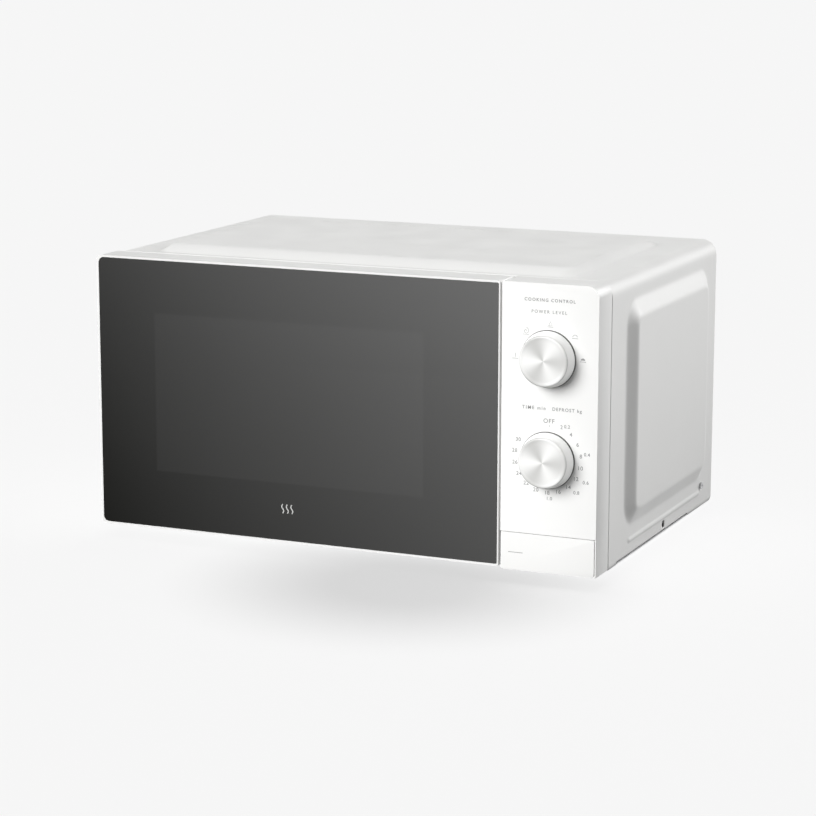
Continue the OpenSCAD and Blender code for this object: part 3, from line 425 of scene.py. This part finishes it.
def case_cover():
    """Bent sheet cover as one skin: rounded long edges, three raised fields, side beads and a rear lip."""
    y0, y1 = 30.0, 308.0
    half, top, foot, r = HALF_W / MM, TOP_Z / MM, FLOOR_Z / MM, 13.0
    side_rise = case_hi.x / MM - half
    top_rise = case_hi.z / MM - top
    lip, bend, corner = 16.0, 2.2, 8.0
    gap_from, gap_to, gap_z = 50.0, 238.0, 2.2
    bead_y, bead_half, bead_z, bead_r, bead_rise = 174, 94, 13.5, 3.2, 0.9
    across = spaced((-(half - r), 8), (-195, 1.6), (-173, 10), (173, 1.6), (195, 8), (half - r, 1))
    up = spaced((foot + 3, 2.5), (foot + 10.5, 0.6), (foot + 17, 3), (foot + 22, 1.6), (foot + 46, 10),
                (foot + 193, 1.6), (foot + 217, 3), (top - r, 1))
    along = spaced((y0, 1.6), (gap_from - 1, 0.5), (gap_from + 1, 1.6), (85, 9), (gap_to - 1, 0.5),
                   (gap_to + 1, 1.6), (286, 5), (y1 - corner, 1), (y1 - bend, 1))
    turn = [math.radians(90 * i / 8) for i in range(1, 8)]

    # Cross-section from the left foot to the right foot: (x, z, outward x, outward z)
    section = [(-half, z, -1, 0) for z in up]
    left = [(-math.cos(a), math.sin(a)) for a in turn]
    section += [(r - half + r * nx, top - r + r * nz, nx, nz) for nx, nz in left]
    section += [(x, top, 0, 1) for x in across]
    right = [(math.sin(a), math.cos(a)) for a in turn]
    section += [(half - r + r * nx, top - r + r * nz, nx, nz) for nx, nz in right]
    section += [(half, z, 1, 0) for z in reversed(up)]
    section = [(-half, foot, -1, 0)] + section + [(half, foot, 1, 0)]

    def lift(x, z, nz, y):
        """Height of the raised fields and the beads over the plain sheet, on the top and on the sides."""
        if nz == 1:
            share = field_share(x, y - y1 / 2 + 4, (179, 91), (12, 26), 0.3)
            return top_rise * (1 - (1 - share) ** 1.4)
        if nz == 0:
            raised = side_rise * field_share(z - foot - 119.5, y - y1 / 2 - 20, (78, 92), (17, 17), 0.4)
            bead = math.hypot(max(abs(y - bead_y) - bead_half, 0), z - foot - bead_z)
            return raised + bead_rise * fillet_ramp(1 - bead / bead_r, 0.45)
        return 0

    def foot_at(y):
        """Lower edge of the side: a shallow gap along its middle, and the rounded rear corner."""
        low = foot
        if gap_from < y < gap_to:
            low = foot + gap_z
        if y > y1 - corner:
            low = foot + corner - math.sqrt(max(0, corner ** 2 - (y - y1 + corner) ** 2))
        return low

    rows = [(y, 0.0) for y in along]
    rear = [math.radians(18 * i) for i in range(1, 6)]
    rows += [(y1 - bend + bend * math.sin(a), bend * (1 - math.cos(a))) for a in rear]
    rows += [(y1, d) for d in (5, 9, 13, lip - 0.01)]
    vertices, faces = [], []
    for y, inward in rows:
        low = foot_at(min(y, y1 - 0.01))
        for x, z, nx, nz in section:
            z = max(z, low)
            out = lift(x, z, nz, y) - inward
            x, z = x + nx * out, z + nz * out
            if inward:
                x, z = max(inward - half, min(half - inward, x)), min(top - inward, z)
            vertices.append((x * MM, depth(y), z * MM))
    wide = len(section)
    for row in range(len(rows) - 1):
        for i in range(row * wide, (row + 1) * wide - 1):
            faces.append((i, i + 1, i + wide + 1, i + wide))
    cover = piece_from("case_cover", vertices, faces, "case_white", "cabinet")
    merge(cover)
    solid = cover.modifiers.new("sheet", "SOLIDIFY")
    solid.thickness = 1 * MM
    solid.offset = -1
    settle(cover)
    holes = ((170, 7, 3.2), (274, 19, 2.1))
    for side in (-1, 1):
        for back, above, hole_r in holes:
            pierce(cover, (side * HALF_W, depth(back), FLOOR_Z + above * MM), hole_r * MM)
    cover.data.shade_smooth()
    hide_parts("outer_case")
    # Painted shade: dark strips behind the gap at the side's foot stand for the shade in that gap.
    shade_strips = []
    for x in (-half + 1, half - 2):
        shade_strips.append(((x, gap_from + 0.5, foot), (x + 1, gap_to - 0.5, foot + gap_z + 0.4)))
    boxes("foot_gap_shade_strips", shade_strips, "black_moulding", "cabinet")


def merge(piece):
    """Joins a piece's vertices that lie on each other and makes its faces agree."""
    work = bmesh.new()
    work.from_mesh(piece.data)
    bmesh.ops.remove_doubles(work, verts=work.verts, dist=0.00002)
    bmesh.ops.recalc_face_normals(work, faces=work.faces)
    work.to_mesh(piece.data)
    work.free()


def pierce(piece, centre, radius, along="X"):
    """Cuts a round hole along X or Y."""
    reach = 20 * MM
    work = bmesh.new()
    bmesh.ops.create_cone(work, cap_ends=True, segments=32, radius1=radius, radius2=radius, depth=reach)
    lie = Matrix.Rotation(math.pi / 2, 4, "Y" if along == "X" else "X")
    work.transform(Matrix.Translation(centre) @ lie)
    mesh = bpy.data.meshes.new("cutter")
    work.to_mesh(mesh)
    work.free()
    cutter = bpy.data.objects.new("cutter", mesh)
    bpy.context.scene.collection.objects.link(cutter)
    cut = piece.modifiers.new("cut", "BOOLEAN")
    cut.object = cutter
    cut.solver = "EXACT"
    bpy.context.view_layer.update()
    settle(piece)
    bpy.data.objects.remove(cutter)


# ---------------------------------------------------------------- front mouldings


def rounded_outline(x0, x1, z0, z1, radii, steps=10):
    """Rectangle in x and z, in mm, with a radius at each corner, anticlockwise from the right top."""
    points = []
    corners = ((x1, z1, 0), (x0, z1, 90), (x0, z0, 180), (x1, z0, 270))
    for (x, z, start), r in zip(corners, radii):
        cx, cz = x - r * (1 if x == x1 else -1), z - r * (1 if z == z1 else -1)
        count = steps if r > 0 else 0
        for i in range(count + 1):
            a = math.radians(start + 90 * i / max(1, count))
            points.append((cx + r * math.cos(a), cz + r * math.sin(a)))
    return points


def moulding(name, outline, y0, y1, rounding, body, wall=None):
    """Plate or open-backed shell. rounding gives the front edges' radii in mm by the side they are on."""
    work = bmesh.new()
    front = [work.verts.new((x * MM, depth(y0), z * MM)) for x, z in outline]
    back = [work.verts.new((x * MM, depth(y1), z * MM)) for x, z in outline]
    work.faces.new(front)
    if wall is None:
        work.faces.new(back[::-1])
    count = len(outline)
    for i in range(count):
        n = (i + 1) % count
        work.faces.new((front[i], back[i], back[n], front[n]))
    bmesh.ops.recalc_face_normals(work, faces=work.faces)
    if wall is not None and sum(f.normal.y * f.calc_area() for f in work.faces) > 0:
        bmesh.ops.reverse_faces(work, faces=work.faces)
    weight = work.edges.layers.float.new("bevel_weight_edge")
    largest = max(rounding.values())
    for i in range(count):
        n = (i + 1) % count
        (ax, az), (bx, bz) = outline[i], outline[n]
        nx, nz = bz - az, ax - bx
        side = max((abs(nx) * (nx > 0), "right"), (abs(nx) * (nx < 0), "left"), (abs(nz) * (nz > 0), "top"),
                   (abs(nz) * (nz < 0), "bottom"))[1]
        work.edges.get((front[i], front[n]))[weight] = rounding[side] / largest
    mesh = bpy.data.meshes.new(name)
    work.to_mesh(mesh)
    work.free()
    piece = bpy.data.objects.new(name, mesh)
    bpy.context.scene.collection.objects.link(piece)
    mesh.materials.append(materials["front_white"])
    bevel = piece.modifiers.new("round", "BEVEL")
    bevel.limit_method = "WEIGHT"
    bevel.width = largest * MM
    bevel.segments = 5
    if wall is not None:
        solid = piece.modifiers.new("wall", "SOLIDIFY")
        solid.thickness = wall * MM
        solid.offset = -1
    settle(piece)
    shade_by_angle(piece)
    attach(piece, body)
    return piece


def shade_by_angle(piece, degrees=30):
    """Smooth over the rounded edges, sharp elsewhere."""
    piece.data.shade_smooth()
    piece.data.set_sharp_from_angle(angle=math.radians(degrees))


def boxes(name, corners, material, body):
    """Several plain boxes, in mm in x, depth and z, joined into one piece with lightly rounded edges."""
    edge_r = 0.25
    work = bmesh.new()
    for low, high in corners:
        made = bmesh.ops.create_cube(work, size=1)["verts"]
        for v in made:
            v.co = [(a + b) / 2 * MM + c * (b - a) * MM for a, b, c in zip(low, high, v.co)]
            v.co.y += FRONT_Y
    mesh = bpy.data.meshes.new(name)
    work.to_mesh(mesh)
    work.free()
    piece = bpy.data.objects.new(name, mesh)
    bpy.context.scene.collection.objects.link(piece)
    mesh.materials.append(materials[material])
    bevel = piece.modifiers.new("round", "BEVEL")
    bevel.width = edge_r * MM
    bevel.segments = 2
    settle(piece)
    shade_by_angle(piece, 50)
    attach(piece, body)
    return piece


def control_panel():
    """Fascia shell, the thin side wall that runs down beside the button, and the button's guide wall."""
    x0, x1, z0, z1 = panel_lo.x / MM, panel_hi.x / MM, panel_lo.z / MM, panel_hi.z / MM
    seam = button_hi.z / MM + 0.5
    deep, shell, wall = 29.5, 2.2, 1.1
    edges = {"right": 3.2, "top": 2.8, "left": 0.7, "bottom": 0.4}
    outline = rounded_outline(x0, x1, seam, z1, (9.5, 1.5, 0, 0))
    fascia = moulding("panel_fascia", outline, 0, deep, edges, "cabinet", shell)
    for node in ("power_knob", "timer_knob"):
        middle = sum(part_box(node), Vector()) / 2
        pierce(fascia, (middle.x, depth(2), middle.z), 3.6 * MM, "Y")
    shade_by_angle(fascia)
    edges = {"right": 0.5, "top": 0.1, "left": 0.1, "bottom": 0.3}
    outline = rounded_outline(x1 - wall, x1, z0, seam, (0, 0, 0, 0.5))
    leg = moulding("panel_side_wall", outline, 0.6, deep, edges, "cabinet")
    guide_x, guide_y, guide_z = (x0 + 1, x1 - wall), (20, 22), (z0 + 1, seam - 1)
    slots = [(guide_x[0], x0 + 16), (x0 + 22.2, x0 + 60), (x0 + 66.2, guide_x[1])]
    walls = [(a, b, z0 + 5.4, z0 + 8.6) for a, b in slots]
    walls += [(*guide_x, z0 + 8.6, z0 + 20.4), (*guide_x, guide_z[0], z0 + 5.4)]
    walls += [(guide_x[0], x0 + 4.4, z0 + 20.4, guide_z[1]), (x0 + 13.6, guide_x[1], z0 + 20.4, guide_z[1])]
    parts = [((a, guide_y[0], low), (b, guide_y[1], high)) for a, b, low, high in walls]
    guide = boxes("button_guide", parts, "front_white", "cabinet")
    for piece in (fascia, leg, guide):
        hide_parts("control_panel")


def door_button():
    """Push plate with rounded edges, two guide blades, the rib that works the lever and the spring's post."""
    x0, x1, z0, z1 = button_lo.x / MM, button_hi.x / MM, button_lo.z / MM, button_hi.z / MM
    rib_end = (button_hi.y - FRONT_Y) / MM
    edges = {"right": 0.2, "top": 0.35, "left": 0.6, "bottom": 1.4}
    plate = moulding("button_plate", rounded_outline(x0, x1, z0, z1, (1.0, 0.8, 2, 3)), 0, 3, edges, "button")
    blade_x, blade_end, sunk = (x0 + 16.2, x0 + 60.2), 25, 2.6
    parts = [((x, sunk, z0 + 5.5), (x + 5, blade_end, z0 + 7.5)) for x in blade_x]
    parts.append(((x0 + 4.6, sunk, z0 + 20.5), (x0 + 12.6, rib_end, z0 + 26.5)))
    ribs = boxes("button_ribs", parts, "front_white", "button")
    axis = sum(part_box("button_spring"), Vector()) / 2
    post_r, post_end = 2.6, 8
    vertices, faces = lathe([(post_r, -post_end), (post_r, -sunk)], Vector((axis.x, FRONT_Y, axis.z)), 48)
    post = piece_from("button_post", vertices, faces, "front_white", "button", smooth=False)
    for piece in (plate, ribs, post):
        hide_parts("door_button")


def pressed_coil(node, body, axis, wire, turns, travel):
    """A spring at its pressed length, in mm, held at its far end, so that nothing goes through it."""
    lo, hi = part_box(node)
    middle = (lo + hi) / 2
    side, end = (0, 2) if axis == 1 else (0, 1), hi[axis] - wire * MM
    coil_r = (hi.x - lo.x) / 2 - wire * MM
    start = lo[axis] + (travel + wire) * MM
    vertices, faces = [], []
    steps, sides = turns * 24, 8
    for i in range(steps + 1):
        a = 2 * math.pi * turns * i / steps
        for k in range(sides):
            b = 2 * math.pi * k / sides
            r = coil_r + wire * MM * math.cos(b)
            point = Vector(middle)
            point[side[0]] += r * math.cos(a)
            point[side[1]] += r * math.sin(a)
            point[axis] = start + (end - start) * i / steps + wire * MM * math.sin(b)
            vertices.append(point)
    for i in range(steps):
        for k in range(sides):
            n = (k + 1) % sides
            faces.append((i * sides + k, i * sides + n, (i + 1) * sides + n, (i + 1) * sides + k))
    faces.append(tuple(range(sides))[::-1])
    faces.append(tuple(steps * sides + k for k in range(sides)))
    coil = piece_from(node + "_coil", vertices, faces, "spring_wire", body)
    merge(coil)
    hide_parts(node)


# ---------------------------------------------------------------- knobs


def knob(node, body):
    """Spun knob: drafted side, rounded shoulder, shallow dished face, and a dark ring at its foot as painted
    shade for the gap under it.
    """
    lo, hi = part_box(node)
    centre = Vector(((lo.x + hi.x) / 2, FRONT_Y, (lo.z + hi.z) / 2))
    base_r, out = (hi.x - lo.x) / 2 / MM, (FRONT_Y - lo.y) / MM
    face_r = base_r - 3.4
    knob_metal(node + "_metal", centre, out)
    profile = [(3, -11.5), (3, 0.95), (base_r - 1.2, 0.95), (base_r - 0.5, 1.0), (base_r - 0.1, 1.15)]
    profile += [(base_r, 1.4)]
    profile += [(base_r - 0.06 - 2.0 * t, 1.8 + (out - 3.8) * t) for t in (0, 0.25, 0.5, 0.75, 1)]
    shoulder = [math.radians(a) for a in range(0, 91, 10)]
    profile += [(face_r - 0.2 + 1.5 * math.cos(a), out - 1.8 + 1.8 * math.sin(a)) for a in shoulder[1:]]
    dish = ((0.7, 0.02), (1.2, 0.08), (1.8, 0.2), (2.4, 0.25))
    profile += [(face_r - inset, out - sunk) for inset, sunk in dish]
    profile += [(face_r * t, out - 0.25 - 0.1 * (1 - t)) for t in (0.8, 0.6, 0.4, 0.2, 0.08, 0.02)]
    vertices, faces = lathe(profile, centre)
    made = piece_from(node + "_turned", vertices, faces, node + "_metal", body)
    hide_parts(node)
    # Painted shade: a dark ring at the panel round the knob's foot stands for the shade in the gap under the
    # knob.
    shade_ring_r = base_r + 0.6
    vertices, faces = lathe([(3.2, 0.05), (shade_ring_r, 0.05), (shade_ring_r - 0.5, 0.5), (3.2, 0.5)], centre)
    piece_from(node + "_shade_ring", vertices, faces, "shade_ring_grey", body, smooth=False)
    return made


# ---------------------------------------------------------------- printing on the panel


class Print:
    """Collects flat printed marks on one plane and joins them into one thin mesh."""

    CAPITAL = 0.72  # height of a capital in the built-in type, as a share of its size

    def __init__(self, face_y):
        self.y = face_y
        self.vertices = []
        self.faces = []

    def add(self, points, faces):
        start = len(self.vertices)
        self.vertices += [(x, self.y, z) for x, z in points]
        self.faces += [tuple(start + i for i in f) for f in faces]

    def text(self, words, x, z, height, weight=0.04, spacing=1.1):
        """Words centred at (x, z) in metres, set in the built-in type; height is a capital's, in mm."""
        data = bpy.data.curves.new("words", "FONT")
        data.body = words
        data.align_x = "CENTER"
        data.align_y = "CENTER"
        data.size = height * MM / self.CAPITAL
        data.offset = weight * MM
        data.space_character = spacing
        shape = bpy.data.objects.new("words", data)
        bpy.context.scene.collection.objects.link(shape)
        bpy.context.view_layer.update()
        mesh = shape.to_mesh()
        faces = [tuple(p.vertices) for p in mesh.polygons]
        self.add([(x + v.co.x, z + v.co.y) for v in mesh.vertices], faces)
        shape.to_mesh_clear()
        bpy.data.objects.remove(shape)

    def stroke(self, points, width):
        """Line through (x, z) points in metres, width in mm."""
        half = width * MM / 2
        outline = []
        for i, (x, z) in enumerate(points):
            (ax, az), (bx, bz) = points[max(0, i - 1)], points[min(len(points) - 1, i + 1)]
            run = math.hypot(bx - ax, bz - az)
            nx, nz = -(bz - az) / run * half, (bx - ax) / run * half
            outline += [(x + nx, z + nz), (x - nx, z - nz)]
        self.add(outline, [(2 * i, 2 * i + 1, 2 * i + 3, 2 * i + 2) for i in range(len(points) - 1)])

    def piece(self, name, material, body, slot):
        made = piece_from(name, self.vertices, self.faces, material, body, smooth=False)
        thick = made.modifiers.new("ink", "SOLIDIFY")
        thick.thickness = PRINT_T
        thick.offset = 0
        settle(made)
        return made


def on_circle(centre, radius, degrees):
    """Point at a clockwise angle from the top; radius in mm."""
    a = math.radians(degrees)
    return centre.x + radius * MM * math.sin(a), centre.z + radius * MM * math.cos(a)


def wave(x, z, height, swing, steps):
    """Points of one upright wave from (x, z) up; height and swing in mm."""
    shares = [i / steps for i in range(steps + 1)]
    return [(x + swing * MM * math.sin(2 * math.pi * t), z + height * MM * t) for t in shares]


def draw_power_signs(marks, centre):
    """Five heat levels around the power knob: a tick, a swirl, a flame, an open dome and a filled one."""
    line = 0.38
    places = [on_circle(centre, 28.8, -90 + 45 * i) for i in range(5)]
    offsets = ((0.9, 1.0), (1.2, 0.4), (1.3, -1.0), (1.6, -0.3), (0, 2.0))
    places = [(x + dx * MM, z + dz * MM) for (x, z), (dx, dz) in zip(places, offsets)]
    for x, z in places:
        marks.stroke([(x - 2.6 * MM, z - 2.2 * MM), (x + 2.6 * MM, z - 2.2 * MM)], line)
    x, z = places[0]
    marks.stroke([(x, z - 1.2 * MM), (x, z + 2.2 * MM)], line)
    x, z = places[1]
    swirl = [(0.4 + 0.32 * i, math.radians(55 * i)) for i in range(9)]
    marks.stroke([(x + r * MM * math.cos(a), z + (0.6 + r * math.sin(a)) * MM) for r, a in swirl], line)
    x, z = places[2]
    flame = [(-1.5, -1.2), (0, 2.2), (1.5, -1.2), (-1.5, -1.2)]
    marks.stroke([(x + dx * MM, z + dz * MM) for dx, dz in flame], line)
    half_turn = [math.radians(a) for a in range(0, 181, 15)]
    arch = [(1.9 * math.cos(a), 1.7 * math.sin(a) - 1.1) for a in half_turn]
    x, z = places[3]
    marks.stroke([(x + dx * MM, z + dz * MM) for dx, dz in arch], line)
    x, z = places[4]
    marks.add([(x + dx * MM, z + dz * MM) for dx, dz in arch], [tuple(range(len(arch)))])


def panel_print():
    """Numbers of the timer, five heat marks of the power knob, plain headings and the button's line."""
    marks = Print(FRONT_Y - PRINT_T)
    power, timer = (sum(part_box(n), Vector()) / 2 for n in ("power_knob", "timer_knob"))
    marks.text("COOKING CONTROL", power.x + 0.7 * MM, power.z + 46.6 * MM, 2.5, 0.07, 1.34)
    marks.text("POWER LEVEL", power.x + 0.2 * MM, power.z + 37.3 * MM, 2.5, 0.03, 1.45)
    marks.text("TIME min", timer.x - 11.8 * MM, timer.z + 41.6 * MM, 2.7, 0.06, 1.4)
    marks.text("DEFROST kg", timer.x + 16 * MM, timer.z + 41.6 * MM, 2.7, 0.06, 1.27)
    marks.text("OFF", timer.x + 1 * MM, timer.z + 31.7 * MM, 3.6, 0.03, 1.15)
    marks.stroke([(timer.x + 1.5 * MM, timer.z + up * MM) for up in (27.2, 28.6)], 0.35)
    dial = timer + Vector((0.2, 0, 1.8)) * MM
    for i in range(15):
        x, z = on_circle(dial, 28.2, 24 + 19.55 * i)
        marks.text(str(2 * i + 2), x, z, 3.2)
    weights = (("0.2", 31.3, 31), ("0.4", 80.7, 33.5), ("0.6", 118, 36.6), ("0.8", 136.6, 35.8),
               ("1.0", 177, 32.8))
    for words, angle, radius in weights:
        x, z = on_circle(dial, radius, angle)
        marks.text(words, x, z, 2.8)
    marks.piece("panel_print", "ink", "cabinet", "front_plastic")
    signs = Print(FRONT_Y - PRINT_T)
    draw_power_signs(signs, power)
    signs.piece("power_signs", "pale_ink", "cabinet", "front_plastic")
    push = Print(FRONT_Y - PRINT_T)
    left = button_lo.x + 6.5 * MM
    push.stroke([(left, button_lo.z + 14.6 * MM), (left + 12.5 * MM, button_lo.z + 14.6 * MM)], 0.45)
    push.piece("button_mark", "ink", "button", "front_plastic")


def door_mark():
    """A plain heat sign low on the glass: three short waves."""
    marks = Print(GLASS_Y - PRINT_T)
    x = (screen_lo.x + screen_hi.x) / 2
    for i in (-1, 0, 1):
        marks.stroke(wave(x + 4.2 * i * MM, FLOOR_Z + 27 * MM, 7.5, 0.9, 24), 0.9)
    marks.piece("door_mark", "ink_on_glass", "door", "tinted_glass")


# ---------------------------------------------------------------- perforated screen


def perforated_screen():
    """Thin sheet with a grid of small eight-sided holes."""
    pitch, hole_r, sides = 4 * MM, 1.35 * MM, 8
    wide, tall = screen_hi.x - screen_lo.x, screen_hi.z - screen_lo.z
    columns, rows = round(wide / pitch), round(tall / pitch)
    dx, dz = wide / columns, tall / rows
    work = bmesh.new()
    mid_y = (screen_lo.y + screen_hi.y) / 2
    for c in range(columns):
        for r in range(rows):
            cx, cz = screen_lo.x + (c + 0.5) * dx, screen_lo.z + (r + 0.5) * dz
            rim, edge = [], []
            for i in range(sides):
                a = 2 * math.pi * (i + 0.5) / sides
                rim.append(work.verts.new((cx + hole_r * math.cos(a), mid_y, cz + hole_r * math.sin(a))))
                a = 2 * math.pi * i / sides
                reach = 1 / max(abs(math.cos(a)), abs(math.sin(a)))
                ex, ez = cx + dx / 2 * reach * math.cos(a), cz + dz / 2 * reach * math.sin(a)
                edge.append(work.verts.new((ex, mid_y, ez)))
            for i in range(sides):
                n = (i + 1) % sides
                work.faces.new((edge[i], edge[n], rim[i]))
                work.faces.new((rim[i], edge[n], rim[n]))
    bmesh.ops.remove_doubles(work, verts=work.verts, dist=0.00001)
    bmesh.ops.recalc_face_normals(work, faces=work.faces)
    mesh = bpy.data.meshes.new("screen")
    work.to_mesh(mesh)
    work.free()
    screen = bpy.data.objects.new("perforated_screen", mesh)
    bpy.context.scene.collection.objects.link(screen)
    mesh.materials.append(materials["screen_black"])
    thick = screen.modifiers.new("sheet", "SOLIDIFY")
    thick.thickness = screen_hi.y - screen_lo.y
    thick.offset = 0
    settle(screen)
    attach(screen, "door")
    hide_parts("window_screen")


# ---------------------------------------------------------------- stage and light


def flat(name, corners):
    """One flat face in the stage: its mesh and its object."""
    mesh = bpy.data.meshes.new(name)
    mesh.from_pydata(corners, [], [tuple(range(len(corners)))])
    made = bpy.data.objects.new(name, mesh)
    bpy.context.scene.collection.objects.link(made)
    return mesh, made


def make_floor():
    """Seamless pale floor. It adds no diffuse light to the oven, so the sides keep the lamps' contrast."""
    reach = 40
    corners = [(-reach, -reach, 0), (reach, -reach, 0), (reach, reach, 0), (-reach, reach, 0)]
    mesh, floor = flat("floor", corners)
    s = Shader("studio_floor", (0.25, 0.25, 0.25), 0.9, Specular_IOR_Level=0.0, Emission_Strength=0.65)
    s.bsdf.inputs["Emission Color"].default_value = (1, 1, 1, 1)
    s.mottle(0.4, 0.004)
    mesh.materials.append(s.material)
    floor.visible_diffuse = False
    return floor


def make_card():
    """Graded card on the floor in front, seen only in reflections: it grades the door glass."""
    reach, gap, z = 3.0, 0.004, 0.001
    y0, y1 = FRONT_Y - reach, FRONT_Y - gap
    mesh, card = flat("card", [(-reach, y0, z), (reach, y0, z), (reach, y1, z), (-reach, y1, z)])
    material = bpy.data.materials.new("graded_card")
    material.use_nodes = True
    nodes, links = material.node_tree.nodes, material.node_tree.links
    nodes.clear()
    place = nodes.new("ShaderNodeTexCoord").outputs["Object"]
    along = nodes.new("ShaderNodeVectorMath")
    along.operation = "DOT_PRODUCT"
    links.new(place, along.inputs[0])
    along.inputs[1].default_value = (0.66, -0.475, 0)
    ramp = nodes.new("ShaderNodeMapRange")
    links.new(along.outputs["Value"], ramp.inputs["Value"])
    for socket, value in (("From Min", -0.07), ("From Max", 0.53), ("To Min", 0.05), ("To Max", 3.0)):
        ramp.inputs[socket].default_value = value
    glow = nodes.new("ShaderNodeEmission")
    links.new(ramp.outputs[0], glow.inputs["Strength"])
    out = nodes.new("ShaderNodeOutputMaterial")
    links.new(glow.outputs[0], out.inputs["Surface"])
    mesh.materials.append(material)
    for ray in ("camera", "diffuse", "transmission", "shadow", "volume_scatter"):
        setattr(card, "visible_" + ray, False)


def shade(name, vertices):
    """Flat screen in the stage that is only there to cast a shadow."""
    mesh, screen = flat(name, vertices)
    mesh.materials.append(materials["shade_ring_grey"])
    for ray in ("camera", "diffuse", "glossy", "transmission", "volume_scatter"):
        setattr(screen, "visible_" + ray, False)
    return screen


def linked(name, items, state):
    """Collection that includes or excludes its items for a lamp."""
    made = bpy.data.collections.new(name)
    for item in items:
        made.objects.link(item)
    for entry in made.collection_objects:
        entry.light_linking.link_state = state
    return made


def sun(name, towards, strength, spread, lights, blocked_by):
    """Distant light with a soft edge. towards points to the light; strength is what white gives back.

    lights and blocked_by are each a state, INCLUDE or EXCLUDE, with the objects it holds for.
    """
    data = bpy.data.lights.new(name, "SUN")
    data.energy = strength * math.pi
    data.angle = math.radians(spread)
    lamp = bpy.data.objects.new(name, data)
    bpy.context.scene.collection.objects.link(lamp)
    lamp.matrix_world = Vector(towards).to_track_quat("Z", "Y").to_matrix().to_4x4()
    lamp.light_linking.receiver_collection = linked(name + "_lights", lights[1], lights[0])
    lamp.light_linking.blocker_collection = linked(name + "_blocked_by", blocked_by[1], blocked_by[0])


def make_light(floor, knobs):
    """Two soft lamps for the oven, one for the floor's single soft shadow, and one along the knobs' sides."""
    world = bpy.data.worlds.new("studio")
    world.use_nodes = True
    sky = world.node_tree.nodes["Background"]
    sky.inputs["Color"].default_value = (1, 1, 1, 1)
    # The sky is dim for the oven, and as bright as the floor where the camera sees it past the floor's end
    dim, seen = 0.09, 0.92
    path = world.node_tree.nodes.new("ShaderNodeLightPath")
    strength = world.node_tree.nodes.new("ShaderNodeMath")
    strength.operation = "MULTIPLY_ADD"
    strength.inputs[1].default_value = seen - dim
    strength.inputs[2].default_value = dim
    world.node_tree.links.new(path.outputs["Is Camera Ray"], strength.inputs[0])
    world.node_tree.links.new(strength.outputs[0], sky.inputs["Strength"])
    bpy.context.scene.world = world

    # A low screen far to the right darkens the side downwards, and a disc throws the floor's shadow
    aim = Vector((0.62, 0.72, 0))
    away, half_width, height = 1.1, 1.3, 0.235
    middle = Vector((HALF_W, depth(150), 0)) + aim.normalized() * away
    along = Vector((aim.y, -aim.x, 0)).normalized() * half_width
    rise = Vector((0, 0, height))
    flag = shade("flag", [middle - along, middle + along, middle + along + rise, middle - along + rise])
    turns = [2 * math.pi * i / 48 for i in range(48)]
    x, y, z, r = 0.079, depth(-40), 0.163, 0.13
    disc = shade("disc", [(x + r * math.cos(a), y + r * math.sin(a), z) for a in turns])
    sun("key", (-0.46, -0.745, 0.43), 1.37, 40, ("EXCLUDE", [floor]), ("EXCLUDE", [flag, disc]))
    sun("side", (0.62, 0.72, 0.37), 1.10, 40, ("EXCLUDE", [floor]), ("EXCLUDE", [disc]))
    sun("rim", (0.95, -0.25, 0.2), 0.58, 60, ("INCLUDE", knobs), ("EXCLUDE", [flag, disc]))
    sun("under", (0, 0, 1), 1.0, 50, ("INCLUDE", [floor]), ("INCLUDE", [disc]))
    bpy.context.scene.view_settings.view_transform = "Standard"


# ---------------------------------------------------------------- build

front_plastic()
case_paint()
door_glass()
simple_materials()
make_camera()
make_card()
floor = make_floor()
dress_nodes()
case_cover()
control_panel()
door_button()
pressed_coil("button_spring", "cabinet", 1, 0.5, 5, 5.0)
pressed_coil("latch_spring", "door", 2, 0.45, 7, 3.6)
knobs = [knob("power_knob", "power_dial"), knob("timer_knob", "timer_dial")]
make_light(floor, knobs)
panel_print()
door_mark()
perforated_screen()
